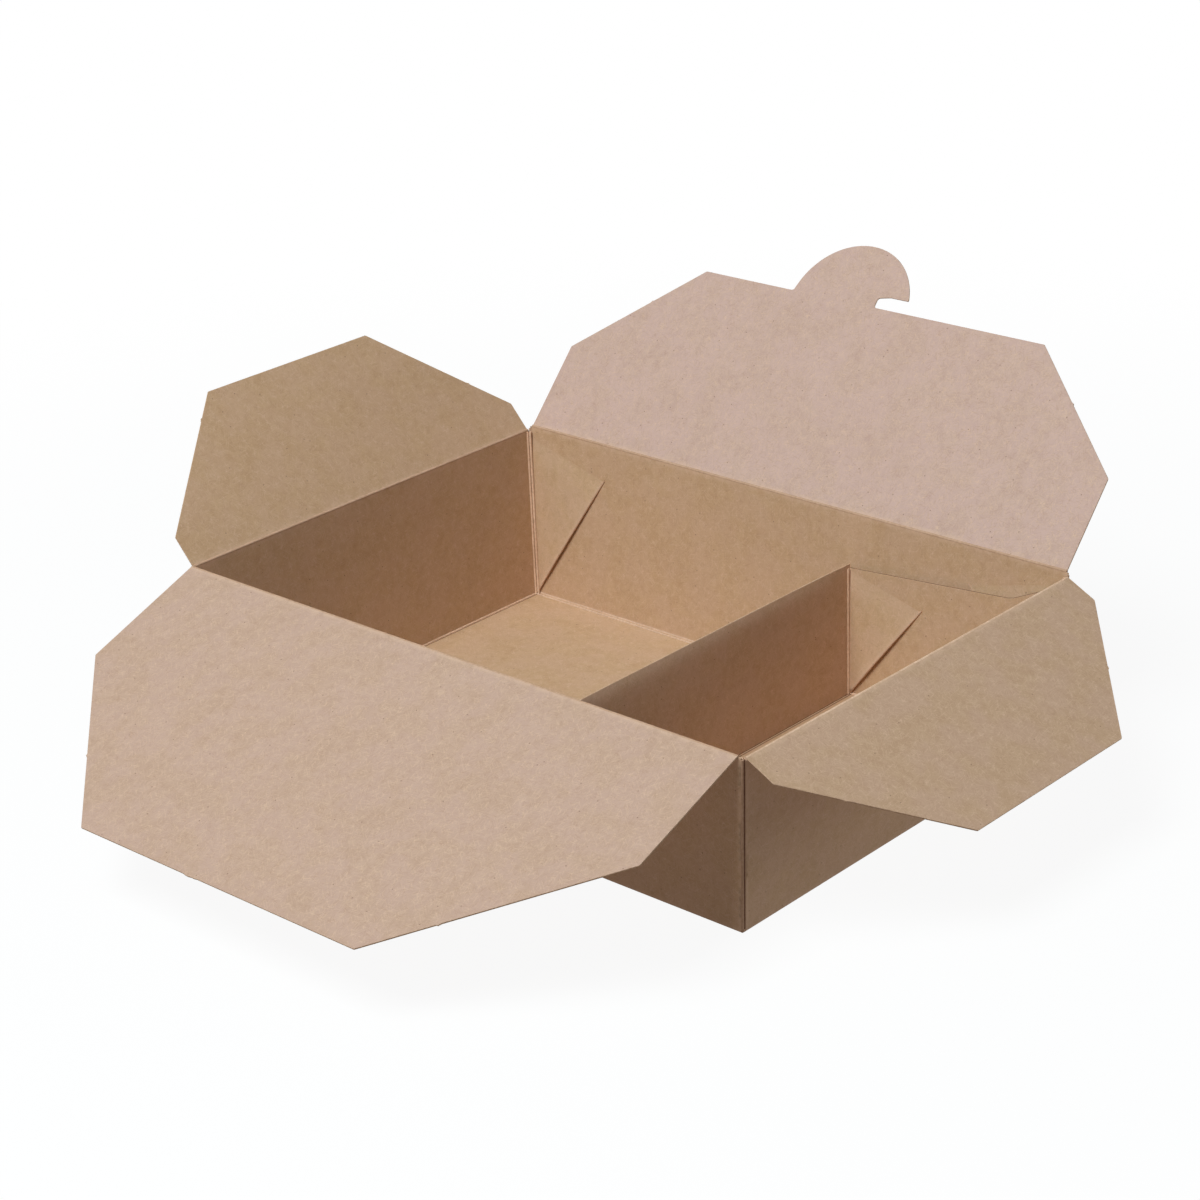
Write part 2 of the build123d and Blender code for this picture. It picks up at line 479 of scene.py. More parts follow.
class NodeGraph:
    """A material's or world's node tree, filled by code."""

    def __init__(self, tree: bpy.types.NodeTree) -> None:
        """Empties the tree."""
        self.tree = tree
        self.tree.nodes.clear()

    def node(self, kind: str, settings: dict[str, Any] | None = None,
             sockets: dict[str | int, Any] | None = None) -> bpy.types.Node:
        """Adds a node.

        Args:
            kind: The node's type.
            settings: Settings of the node, which are set first.
            sockets: Values, wires or sockets for its inputs, by name or number.

        Returns:
            The node.
        """
        node = self.tree.nodes.new(kind)
        for name, value in (settings or {}).items():
            setattr(node, name, value)
        for key, value in (sockets or {}).items():
            target = node.inputs[key]
            if isinstance(value, Wire):
                value = value.socket
            if isinstance(value, bpy.types.NodeSocket):
                self.tree.links.new(value, target)
            else:
                target.default_value = value
        return node

    def wire(self, kind: str, settings: dict[str, Any] | None = None,
             sockets: dict[str | int, Any] | None = None, output: str | int = 0) -> Wire:
        """Adds a node and gives one of its outputs."""
        return Wire(self, self.node(kind, settings, sockets).outputs[output])

    def mix(self, factor: Wire | float, first: Any, second: Any) -> bpy.types.NodeSocket:
        """Mixes two colours.

        Args:
            factor: Share of the second colour.
            first: First colour, or a socket of one.
            second: Second colour, or a socket of one.

        Returns:
            The socket of the mixed colour.
        """
        whole = [(*c, 1.0) if isinstance(c, tuple) else c for c in (first, second)]
        node = self.node("ShaderNodeMix", {"data_type": "RGBA"}, {0: factor, 6: whole[0], 7: whole[1]})
        return node.outputs[2]

    def noise(self, place: bpy.types.NodeSocket, scale: float, detail: float = 2.0,
              flat: bool = True) -> Wire:
        """Noise of about 0.5 on average.

        Args:
            place: The place that the noise is read at.
            scale: Cells to the metre.
            detail: Number of finer layers.
            flat: True for noise on a flat map.

        Returns:
            The noise.
        """
        return self.wire("ShaderNodeTexNoise", {"noise_dimensions": "2D" if flat else "3D"},
                         {"Vector": place, "Scale": scale, "Detail": detail})


def new_material(name: str) -> tuple[bpy.types.Material, NodeGraph]:
    """Makes a material with an empty node graph.

    Args:
        name: Name of the material.

    Returns:
        The material and its graph.
    """
    material = bpy.data.materials.new(name)
    material.use_nodes = True
    return material, NodeGraph(material.node_tree)


def linear(red: int, green: int, blue: int) -> Colour:
    """A colour as shaders take it, from screen values of 0 to 255."""
    def part(value: int) -> float:
        """One channel, by the curve of sRGB screens."""
        share = value / 255
        return share / 12.92 if share <= 0.04045 else ((share + 0.055) / 1.055) ** 2.4
    return part(red), part(green), part(blue)


@dataclass(frozen=True)
class KraftFinish:
    """The face of kraft card: cloudy pulp, light and dark fibres, specks, pale worn folds, and painted shade
    beside scored folds.

    Scales are in cells to the metre and lengths in millimetres. A range is where something starts and where
    it is full, a share is how much of its colour is mixed in, and a rise is how much it lifts the surface.
    """

    name: str
    light: Colour
    dark: Colour
    blush: Colour
    fibre_light: Colour
    fibre_dark: Colour
    speck: Colour
    worn: Colour
    # Painted shade: the colour of the dark line beside each scored fold.
    score: Colour
    roughness: float = 0.6
    roughness_spread: float = 0.12
    specular: float = 0.25
    cloud_scale: float = 60.0
    cloud_detail: float = 3.0
    cloud_weight: float = 0.2
    pulp_scale: float = 330.0
    pulp_weight: float = 0.45
    pulp_rise: float = 0.6
    grain_scale: float = 2200.0
    grain_weight: float = 0.35
    grain_rise: float = 0.8
    tone_range: Pair = (0.25, 0.75)
    blush_scale: float = 95.0
    blush_range: Pair = (0.36, 0.64)
    blush_share: float = 0.5
    fibre_length: float = 1.9
    fibre_width: float = 0.16
    fibre_softness: float = 0.14
    light_turns: tuple[float, ...] = (8.0, 52.0, 97.0, 141.0)
    light_sparse: float = 0.6
    light_share: float = 0.3
    light_rise: float = 0.5
    dark_turns: tuple[float, ...] = (27.0, 75.0, 118.0, 166.0)
    dark_sparse: float = 0.62
    dark_share: float = 0.16
    dark_rise: float = 0.4
    speck_scale: float = 140.0
    speck_range: Pair = (0.012, 0.034)
    speck_chance: Pair = (0.6, 0.75)
    speck_share: float = 0.65
    worn_range: Pair = (0.25, 1.5)
    worn_patches: Pair = (0.2, 0.6)
    worn_share: float = 0.45
    # Where the painted shade lies beside a scored fold, and how much of it is mixed in.
    score_in: float = 0.85
    score_width: float = 0.34
    groove_shade_share: float = 0.95
    bump_strength: float = 0.35
    bump_height: float = 0.02

    def _fibres(self, graph: NodeGraph, place: bpy.types.NodeSocket, turns: Sequence[float],
                sparse: float) -> Wire:
        """Short strokes laid in several directions.

        Args:
            graph: The graph to add to.
            place: The flat map.
            turns: Directions in degrees.
            sparse: How high the noise has to be for a fibre to show.

        Returns:
            A mask of the fibres.
        """
        total: Wire | None = None
        for turn in turns:
            laid = graph.node("ShaderNodeMapping", {"vector_type": "TEXTURE"}, {
                "Vector": place, "Location": (turn * MM, turn * MM / 3, 0.0),
                "Rotation": (0.0, 0.0, math.radians(turn)),
                "Scale": (2 * self.fibre_length * MM, 2 * self.fibre_width * MM, 1.0)})
            stroke = graph.noise(laid.outputs[0], scale=1.0, detail=1.0)
            stroke = stroke.step(sparse, sparse + self.fibre_softness)
            total = stroke if total is None else total + stroke
        return total

    def _specks(self, graph: NodeGraph, place: bpy.types.NodeSocket) -> Wire:
        """Small dark dots, one in some of the map's cells.

        Args:
            graph: The graph to add to.
            place: The flat map.

        Returns:
            A mask of the specks.
        """
        spot = graph.node("ShaderNodeTexVoronoi", {"voronoi_dimensions": "2D"},
                          {"Vector": place, "Scale": self.speck_scale})
        chance = graph.wire("ShaderNodeSeparateColor", None, {0: spot.outputs["Color"]})
        dot = 1 - Wire(graph, spot.outputs["Distance"]).step(*self.speck_range)
        return dot * chance.step(*self.speck_chance)

    def _groove_shade(self, graph: NodeGraph) -> Wire:
        """A mask of the painted shade beside each scored fold: a dark line where a groove would shade."""
        scored = graph.wire("ShaderNodeAttribute", {"attribute_name": SCORE_DISTANCE}, None, "Fac")
        return (scored.step(self.score_in - self.score_width, self.score_in)
                * (1 - scored.step(self.score_in, self.score_in + self.score_width)))

    def build(self) -> bpy.types.Material:
        """Makes the material.

        Returns:
            The material, which reads the sheets' flat map.
        """
        material, graph = new_material(self.name)
        place = graph.node("ShaderNodeUVMap", {"uv_map": CARD_MAP}).outputs[0]
        cloud = graph.noise(place, self.cloud_scale, self.cloud_detail)
        pulp = graph.noise(place, self.pulp_scale)
        grain = graph.noise(place, self.grain_scale)
        tone = cloud * self.cloud_weight + pulp * self.pulp_weight + grain * self.grain_weight
        colour = graph.mix(tone.step(*self.tone_range), self.dark, self.light)
        rosy = graph.noise(place, self.blush_scale, self.cloud_detail).step(*self.blush_range)
        colour = graph.mix(rosy * self.blush_share, colour, self.blush)
        pale = self._fibres(graph, place, self.light_turns, self.light_sparse)
        deep = self._fibres(graph, place, self.dark_turns, self.dark_sparse)
        colour = graph.mix(pale * self.light_share, colour, self.fibre_light)
        colour = graph.mix(deep * self.dark_share, colour, self.fibre_dark)
        colour = graph.mix(self._specks(graph, place) * self.speck_share, colour, self.speck)
        fold = graph.wire("ShaderNodeAttribute", {"attribute_name": FOLD_DISTANCE}, None, "Fac")
        worn = (1 - fold.step(*self.worn_range)) * pulp.step(*self.worn_patches)
        colour = graph.mix(worn * self.worn_share, colour, self.worn)
        # Painted shade: a dark line beside each scored fold.
        colour = graph.mix(self._groove_shade(graph) * self.groove_shade_share, colour, self.score)
        height = (pale * self.light_rise - deep * self.dark_rise + grain * self.grain_rise
                  + pulp * self.pulp_rise)
        bump = graph.node("ShaderNodeBump", None, {
            "Strength": self.bump_strength, "Distance": self.bump_height * MM, "Height": height})
        shader = graph.node("ShaderNodeBsdfPrincipled", None, {
            "Base Color": colour, "Roughness": self.roughness + (grain - 0.5) * self.roughness_spread,
            "Normal": bump.outputs[0], "Specular IOR Level": self.specular})
        graph.node("ShaderNodeOutputMaterial", None, {"Surface": shader.outputs[0]})
        return material


@dataclass(frozen=True)
class CutFinish:
    """Card cut through, or rolled at a fold: pulp with a fibrous grain, read in space."""

    name: str
    light: Colour
    dark: Colour
    grain: float = 1800.0
    grain_weight: float = 0.6
    cloud_size: float = 12.0
    cloud_weight: float = 0.4
    tone_range: Pair = (0.34, 0.66)
    roughness: float = 0.88
    specular: float = 0.2
    bump_strength: float = 0.4
    bump_height: float = 0.02

    def build(self) -> bpy.types.Material:
        """Makes the material.

        Returns:
            The material, which reads Object coordinates.
        """
        material, graph = new_material(self.name)
        place = graph.node("ShaderNodeTexCoord").outputs["Object"]
        pulp = graph.noise(place, self.grain, flat=False)
        cloud = graph.noise(place, self.grain / self.cloud_size, flat=False)
        tone = (pulp * self.grain_weight + cloud * self.cloud_weight).step(*self.tone_range)
        bump = graph.node("ShaderNodeBump", None, {
            "Strength": self.bump_strength, "Distance": self.bump_height * MM, "Height": pulp})
        shader = graph.node("ShaderNodeBsdfPrincipled", None, {
            "Base Color": graph.mix(tone, self.dark, self.light), "Roughness": self.roughness,
            "Normal": bump.outputs[0], "Specular IOR Level": self.specular})
        graph.node("ShaderNodeOutputMaterial", None, {"Surface": shader.outputs[0]})
        return material


@dataclass(frozen=True)
class CardFinishes:
    """The materials of one stock of card."""

    face: bpy.types.Material
    # front, back and right are copies of the face tinted as painted light: sheen on the long flaps, a greyer
    # tint for the light on the right one.
    front: bpy.types.Material
    back: bpy.types.Material
    right: bpy.types.Material
    # Painted light: a paler copy of the face for the webs, for the light on their tilted plies.
    web: bpy.types.Material
    # Painted light: a bluer, greyer copy of the face for the divider's shaded sides.
    divider: bpy.types.Material
    cut: bpy.types.Material
    fold: bpy.types.Material
    worn: bpy.types.Material
    # A pale worn crease, and a painted highlight: made paler still where the beads lie in shade.
    bead: bpy.types.Material
    # Painted shade: a dark card colour for rolls laid where shadow falls in corners and gaps.
    seam: bpy.types.Material

    @property
    def sheet(self) -> list[bpy.types.Material]:
        """Materials of a sheet, in the order of Finish."""
        return [self.face, self.cut, self.web, self.divider]

    def flap_sheet(self, side: Side) -> list[bpy.types.Material]:
        """Materials of a flap, in the order of Finish; the long flaps are tinted rosier as painted sheen,
        the right one greyer as painted light.
        """
        faces = {Side.FRONT: self.front, Side.BACK: self.back, Side.RIGHT: self.right}
        return [faces.get(side, self.face), self.cut]


# Rolls of card along the folds


@dataclass(frozen=True)
class FoldLine:
    """A straight or bent fold: its points, and the roll's girth at each as a share of its radius."""

    points: list[Array]
    girths: list[float]

    @classmethod
    def straight(cls, start: Array, end: Array) -> "FoldLine":
        """A straight fold of even girth."""
        return cls([start, end], [1.0, 1.0])

    def mirrored(self, flips: Array) -> "FoldLine":
        """This fold flipped about the middle planes."""
        return FoldLine([p * flips for p in self.points], list(self.girths))


@dataclass(frozen=True)
class FoldRoll:
    """The rolls along some folds that make one piece; the seed picks their unevenness."""

    name: str
    lines: Sequence[FoldLine]
    radius: float
    material: bpy.types.Material
    wobble: float
    seed: float = 1.0
    spacing: float = 2.0


class FoldRoller:
    """Geometry Nodes that lay a slightly uneven roll of card along fold lines."""

    NOISE_SCALE = 220.0
    LEAST_GIRTH = 0.85
    GIRTH_SPREAD = 0.3
    RING_POINTS = 10
    CREASE_ANGLE = 60.0
    INPUTS = (("Radius", "NodeSocketFloat"), ("Wobble", "NodeSocketFloat"), ("Spacing", "NodeSocketFloat"),
              ("Seed", "NodeSocketFloat"), ("Material", "NodeSocketMaterial"))

    def __init__(self) -> None:
        """Builds the tree."""
        self.tree = bpy.data.node_groups.new("fold_roll", "GeometryNodeTree")
        graph = NodeGraph(self.tree)
        face = self.tree.interface
        face.new_socket("Geometry", in_out="INPUT", socket_type="NodeSocketGeometry")
        self.keys = {name: face.new_socket(name, in_out="INPUT", socket_type=kind).identifier
                     for name, kind in self.INPUTS}
        face.new_socket("Geometry", in_out="OUTPUT", socket_type="NodeSocketGeometry")
        given = graph.node("NodeGroupInput").outputs
        curve = graph.node("GeometryNodeMeshToCurve", None, {"Mesh": given["Geometry"]})
        fine = graph.node("GeometryNodeResampleCurve", {"mode": "LENGTH"},
                          {"Curve": curve.outputs[0], "Length": given["Spacing"]})
        place = graph.node("GeometryNodeInputPosition").outputs[0]
        noise = graph.node("ShaderNodeTexNoise", {"noise_dimensions": "4D"},
                           {"Vector": place, "W": given["Seed"], "Scale": self.NOISE_SCALE, "Detail": 2.0})
        centred = graph.node("ShaderNodeVectorMath", {"operation": "SUBTRACT"},
                             {0: noise.outputs["Color"], 1: (0.5, 0.5, 0.5)})
        shift = graph.node("ShaderNodeVectorMath", {"operation": "SCALE"},
                           {0: centred.outputs[0], "Scale": given["Wobble"]})
        moved = graph.node("GeometryNodeSetPosition", None,
                           {"Geometry": fine.outputs[0], "Offset": shift.outputs[0]})
        girth = graph.wire("GeometryNodeInputNamedAttribute", {"data_type": "FLOAT"},
                           {"Name": GIRTH}, "Attribute")
        uneven = girth * (Wire(graph, noise.outputs["Fac"]) * self.GIRTH_SPREAD + self.LEAST_GIRTH)
        sized = graph.node("GeometryNodeSetCurveRadius", None,
                           {"Curve": moved.outputs[0], "Radius": uneven})
        ring = graph.node("GeometryNodeCurvePrimitiveCircle", None,
                          {"Resolution": self.RING_POINTS, "Radius": given["Radius"]})
        tube = graph.node("GeometryNodeCurveToMesh", None, {
            "Curve": sized.outputs[0], "Profile Curve": ring.outputs[0], "Fill Caps": True})
        smooth = graph.node("GeometryNodeSetShadeSmooth", None, {"Geometry": tube.outputs[0]})
        real = graph.node("GeometryNodeRealizeInstances", None, {"Geometry": smooth.outputs[0]})
        dressed = graph.node("GeometryNodeSetMaterial", None,
                             {"Geometry": real.outputs[0], "Material": given["Material"]})
        graph.node("NodeGroupOutput", None, {"Geometry": dressed.outputs[0]})

    def roll(self, rolls: FoldRoll) -> bpy.types.Object:
        """Makes the rolls along some folds as one plain mesh.

        Args:
            rolls: The folds, and the looks of their rolls.

        Returns:
            The piece, at the origin.
        """
        points = [p * MM for line in rolls.lines for p in line.points]
        edges, start = [], 0
        for line in rolls.lines:
            edges += [(start + i, start + i + 1) for i in range(len(line.points) - 1)]
            start += len(line.points)
        base = bpy.data.meshes.new(rolls.name + "_lines")
        base.from_pydata([tuple(p) for p in points], edges, [])
        girths = [g for line in rolls.lines for g in line.girths]
        base.attributes.new(GIRTH, "FLOAT", "POINT").data.foreach_set("value", girths)
        source = add_object(rolls.name + "_lines", base)
        modifier = source.modifiers.new("roll", "NODES")
        modifier.node_group = self.tree
        values = {"Radius": rolls.radius * MM, "Wobble": rolls.wobble * MM, "Spacing": rolls.spacing * MM,
                  "Seed": rolls.seed, "Material": rolls.material}
        for key, value in values.items():
            modifier[self.keys[key]] = value
        graph = bpy.context.evaluated_depsgraph_get()
        mesh = bpy.data.meshes.new_from_object(source.evaluated_get(graph), depsgraph=graph)
        source.modifiers.remove(modifier)
        bpy.data.objects.remove(source)
        mesh.name = rolls.name
        mesh.set_sharp_from_angle(angle=math.radians(self.CREASE_ANGLE))
        return add_object(rolls.name, mesh)


# The box


@dataclass(frozen=True)
class BoxSizes:
    """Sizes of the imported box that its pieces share."""

    board: float = 0.4
    crease_gap: float = 0.05
    fit_gap: float = 0.1
    base_length: float = 183.0
    base_width: float = 125.0
    wall_lean: float = 6.0
    wall_height: float = 51.0
    flap_step: float = 0.6

    @property
    def flare(self) -> float:
        """How far the walls lean out for each millimetre of height."""
        return self.wall_lean / self.wall_height

    @property
    def hinge_clearance(self) -> float:
        """Distance of a hinge from its wall's top and outer face."""
        return self.board / 2 + self.crease_gap

    def half_length(self, height: float) -> float:
        """Outside half length of the tray at a height."""
        return self.base_length / 2 + self.flare * height

    def half_width(self, height: float) -> float:
        """Outside half width of the tray at a height."""
        return self.base_width / 2 + self.flare * height

    def reach(self, side: Side, height: float) -> float:
        """Distance of a wall's outer face from the middle, at a height."""
        return self.half_width(height) if side.is_long else self.half_length(height)

    def span(self, side: Side, height: float) -> float:
        """Half length of a wall along itself, at a height."""
        return self.half_length(height) if side.is_long else self.half_width(height)

    def hinge_height(self, side: Side) -> float:
        """Height of a flap's hinge: flaps that close later are hinged higher."""
        return self.wall_height + {Side.FRONT: 1, Side.BACK: 2}.get(side, 0) * self.flap_step

    def hinge(self, side: Side) -> Array:
        """Middle of a flap's hinge."""
        height = self.hinge_height(side)
        return side.outward * (self.reach(side, height) + self.hinge_clearance) + UP * height

    def wall_plane(self, side: Side, inset: float) -> CardPlane:
        """Plane along a wall, facing into the box.

        Args:
            side: The wall's side.
            inset: Distance in from the wall's outer face.

        Returns:
            The plane, which starts at the wall's foot.
        """
        slope = math.atan(self.flare)
        into = UP * math.sin(slope) - side.outward * math.cos(slope)
        origin = side.outward * self.reach(side, 0.0) + into * inset
        return CardPlane(origin, side.along, side.outward * math.sin(slope) + UP * math.cos(slope))


@dataclass
class FoldedWeb:
    """A web of card folded double in a corner and laid on a wall, its folded edge a little off the wall.

    Its foot, top and apex are places along the wall with heights above the table.
    """

    plane: CardPlane
    foot: Pair
    top: Pair
    apex: Pair
    ply: float = 0.26
    slit: float = 0.04
    bulge: float = 0.5
    bulge_scale: float = 6.2
    bulge_fall: float = 1.8
    bulge_hold: int = 4
    least_reach: float = 0.5
    tuck: float = 3.5
    press: float = 7.0
    thin: float = 0.2
    narrowing: float = 0.55
    sink: float = 0.17

    @property
    def roll_radius(self) -> float:
        """Radius of the roll along the folded edge."""
        return self.ply + self.slit / 2

    def edge_at(self, height: Array) -> Array:
        """Place of the corner along the wall, at heights above the table."""
        share = (height - self.foot[1]) / (self.top[1] - self.foot[1])
        return self.foot[0] + share * (self.top[0] - self.foot[0])

    def _height(self, flat: Array) -> Array:
        """Heights above the table."""
        return self.plane.origin[2] + flat[:, 1] * self.plane.up[2]

    def _share(self, flat: Array) -> Array:
        """Shares of the way up from the foot to the apex."""
        return np.clip((self._height(flat) - self.foot[1]) / (self.apex[1] - self.foot[1]), 0.0, 1.0)

    def _clear(self, flat: Array) -> Array:
        """0 along the cut top edge, rising smoothly to 1 where the press of the wall ends.

        Args:
            flat: Places along and up the wall, one row each.

        Returns:
            One value for each place.
        """
        apex, top = (np.array([[x, self.plane.up_to(z)]]) for x, z in (self.apex, self.top))
        away = np.clip(distance_to(flat, apex, top) / self.press, 0.0, 1.0)
        return away * away * (3 - 2 * away)

    def lift_at(self, flat: Array) -> Array:
        """Lift off the wall: nothing at the corner, most along the lower half of the folded edge.

        Args:
            flat: Places along and up the wall, one row each.

        Returns:
            One lift for each place.
        """
        share, corner = self._share(flat), self.edge_at(self._height(flat))
        reach = np.maximum(self.foot[0] + share * (self.apex[0] - self.foot[0]) - corner, self.least_reach)
        across = np.clip((flat[:, 0] - corner) / reach, 0.0, 1.0)
        along = self.bulge * self.bulge_scale * share * (1 - share) ** self.bulge_fall
        return along * across ** self.bulge_hold

    def taper_at(self, flat: Array) -> Array:
        """Share of the plies' thickness: pressed thin along the cut top edge and up the folded edge."""
        return self.thin + (1 - self.thin) * self._clear(flat) * (1 - self.narrowing * self._share(flat))

    def _level(self, plies: float, slits: float) -> Lift:
        """Lift of a sheet that lies on so many plies and slits, its top edge pressed into the wall.

        Args:
            plies: Number of plies under the middle of the sheet.
            slits: Number of slits under it.

        Returns:
            A function that gives the lift of each place.
        """
        def lift(flat: Array) -> Array:
            """Lift of each place."""
            stack = (plies * self.ply + slits * self.slit) * self.taper_at(flat)
            return self.lift_at(flat) + stack - self.sink * (1 - self._clear(flat))
        return lift

    def sheets(self) -> CardMesh:
        """The two plies: the hidden one stops short of the seen one's top edge.

        Returns:
            Both plies, in the back corner.
        """
        made = CardMesh()
        hidden, seen = self._level(plies=0.5, slits=0.0), self._level(plies=1.5, slits=1.0)
        for lift, drop in ((hidden, self.tuck), (seen, 0.0)):
            low = drop / (self.apex[1] - self.foot[1])
            apex = (self.apex[0] - low * (self.apex[0] - self.foot[0]), self.apex[1] - drop)
            top = (float(self.edge_at(np.array(self.top[1] - drop))), self.top[1] - drop)
            corners = [(x, self.plane.up_to(z)) for x, z in (self.foot, apex, top)]
            folds = [(corners[0], corners[1]), (corners[2], corners[0])]
            sheet = CardSheet(self.plane, corners, self.ply, folds, lift, edge_step=1.5, inner_step=3.0,
                              edge_rows=(0.5, 1.3), face_finish=Finish.WEB, edge_finish=Finish.WEB,
                              taper=self.taper_at)
            made.add(sheet.mesh())
        return made

    def fold(self, steps: int = 14) -> FoldLine:
        """The folded edge, thinner towards its apex.

        Args:
            steps: Number of straight runs in it.

        Returns:
            The fold's line.
        """
        shares = np.linspace(0.0, 1.0, steps + 1)
        heights = self.foot[1] + shares * (self.apex[1] - self.foot[1])
        flat = np.array([(self.foot[0] + s * (self.apex[0] - self.foot[0]), self.plane.up_to(z))
                         for s, z in zip(shares, heights)])
        lift = self._level(plies=1.0, slits=0.5)(flat)
        return FoldLine(list(self.plane.place(flat, lift)), self.taper_at(flat).tolist())


@dataclass(frozen=True)
class CornerLine:
    """A line up the back left corner, by its distances from its walls' outer faces, and its girth."""

    from_back: float
    from_left: float
    girth: float


@dataclass
class Tray:
    """The folded tray: base, four leaning walls, and a web folded double in each corner."""

    sizes: BoxSizes
    finishes: CardFinishes
    web_apex_in: float = 25.0
    web_apex_height: float = 41.5
    web_top_drop: float = 1.5
    roll_radius: float = 0.21
    bead_radius: float = 0.38
    bead_rise: float = 0.1
    floor_roll_radius: float = 0.26
    # Radius of the dark rolls of painted shade in the corners.
    painted_shade_radius: float = 0.2
    end_roll_radius: float = 0.425
    short_wall_end: float = 1.28
    ridge_in: float = 1.35
    ridge_width: float = 0.28
    ridge_height: float = 0.16
    ridge_rows: tuple[float, ...] = (0.3, 0.55, 0.85, 1.1, 1.35, 1.65, 2.6)
    corner_beads: tuple[CornerLine, ...] = (CornerLine(1.7, 0.42, 0.72), CornerLine(1.15, 1.0, 0.5))
    # Dark lines of painted shade up the corners, by their distances and girths.
    corner_painted_shades: tuple[CornerLine, ...] = (CornerLine(1.28, 0.55, 1.0), CornerLine(1.0, 0.3, 0.85))

    def _base_half(self, side: Side) -> float:
        """Distance of a base fold from the middle, at the middle of the card.

        Args:
            side: The side that the fold runs along.

        Returns:
            The distance.
        """
        board = self.sizes.board
        slope = math.atan(self.sizes.flare)
        return self.sizes.reach(side, board / 2) - board / 2 / math.cos(slope)

    def _wall_top(self, side: Side) -> float:
        """Height of a wall's top."""
        return self.sizes.hinge_height(side) - self.sizes.hinge_clearance

    def _wall_end(self, side: Side, height: float) -> float:
        """End of a wall along itself: a long wall folds round there, a short one stops two plies in."""
        inset = self.end_roll_radius if side.is_long else self.short_wall_end
        return self.sizes.span(side, height) - inset

    def wall(self, side: Side) -> CardMesh:
        """One wall.

        Args:
            side: The wall's side.

        Returns:
            The wall's sheet.
        """
        board = self.sizes.board
        plane = self.sizes.wall_plane(side, board / 2)
        low, high = board / 2, self._wall_top(side)
        corners = [(sign * self._wall_end(side, z), plane.up_to(z)) for sign, z in
                   ((-1, low), (1, low), (1, high), (-1, high))]
        folds = list(zip(corners, corners[1:] + corners[:1]))
        return CardSheet(plane, corners, board, folds).mesh()

    def base(self) -> CardMesh:
        """The base, with a low ridge beside each of its folds.

        Returns:
            The base's sheet.
        """
        board = self.sizes.board
        x, y = self._base_half(Side.RIGHT), self._base_half(Side.BACK)
        corners = [(-x, -y), (x, -y), (x, y), (-x, y)]
        plane = CardPlane(UP * board / 2, RIGHTWARDS, BACKWARDS)
        folds = list(zip(corners, corners[1:] + corners[:1]))

        def ridge(flat: Array) -> Array:
            """A low ridge pressed up beside each fold."""
            away = np.minimum(x - np.abs(flat[:, 0]), y - np.abs(flat[:, 1]))
            return self.ridge_height * np.exp(-(((away - self.ridge_in) / self.ridge_width) ** 2))
        # The short sides' folds get a painted shade line beside them.
        short_sides = [folds[1], folds[3]]
        return CardSheet(plane, corners, board, folds, ridge, short_sides, edge_rows=self.ridge_rows).mesh()

    def web(self) -> FoldedWeb:
        """The web at the back left corner.

        Returns:
            The web, which is mirrored to the other corners.
        """
        sizes, board = self.sizes, self.sizes.board
        top = self._wall_top(Side.LEFT) - self.web_top_drop
        foot = (board / 2 - sizes.half_length(board), board)
        return FoldedWeb(sizes.wall_plane(Side.BACK, board + sizes.crease_gap), foot,
                         (board / 2 - sizes.half_length(top), top),
                         (foot[0] + board / 2 + self.web_apex_in, self.web_apex_height))

    def _end_lines(self, side: Side, inset: float, low: float, top: float) -> list[FoldLine]:
        """Lines up both ends of a wall.

        Args:
            side: The wall's side.
            inset: Distance in from the wall's outer face.
            low: Height of the lines' lower ends.
            top: Height of their upper ends.

        Returns:
            The two lines.
        """
        plane = self.sizes.wall_plane(side, inset)
        return [FoldLine.straight(*(plane.at(sign * self._wall_end(side, z), z) for z in (low, top)))
                for sign in (-1, 1)]

    def outer_folds(self) -> list[FoldLine]:
        """Folds of the base and of the short walls' ends, at the middle of the card.

        Returns:
            The folds' lines.
        """
        board = self.sizes.board
        x, y, z = self._base_half(Side.RIGHT), self._base_half(Side.BACK), board / 2
        ring = [np.array(p) for p in ((-x, -y, z), (x, -y, z), (x, y, z), (-x, y, z))]
        lines = [FoldLine.straight(a, b) for a, b in zip(ring, ring[1:] + ring[:1])]
        for side in (Side.LEFT, Side.RIGHT):
            lines += self._end_lines(side, board / 2, board, self._wall_top(side))
        return lines

    def end_folds(self) -> list[FoldLine]:
        """The long walls' ends, folded round two plies thick.

        Returns:
            The folds' lines.
        """
        lines = []
        for side in (Side.FRONT, Side.BACK):
            top = self._wall_top(side) - self.sizes.flap_step
            lines += self._end_lines(side, self.end_roll_radius, self.end_roll_radius, top)
        return lines

    def _floor_line(self, side: Side, inset: float) -> FoldLine:
        """A line along one of the floor's sides.

        Args:
            side: The side.
            inset: Distance in from the wall's inner face.

        Returns:
            The line.
        """
        height = self.sizes.board + self.bead_rise
        half = self.sizes.span(side, height) - self.sizes.board
        middle = side.outward * (self.sizes.reach(side, height) - self.sizes.board - inset) + UP * height
        return FoldLine.straight(middle - side.along * half, middle + side.along * half)

    def floor_folds(self) -> list[FoldLine]:
        """The soft folds along the floor's long sides, each a pair of low rolls."""
        return [self._floor_line(side, inset) for side in (Side.FRONT, Side.BACK)
                for inset in (0.0, self.ridge_in)]

    @property
    def corners(self) -> list[Array]:
        """Flips that take the back left corner to each corner."""
        return [np.array((sx, sy, 1.0)) for sx in (1, -1) for sy in (1, -1)]

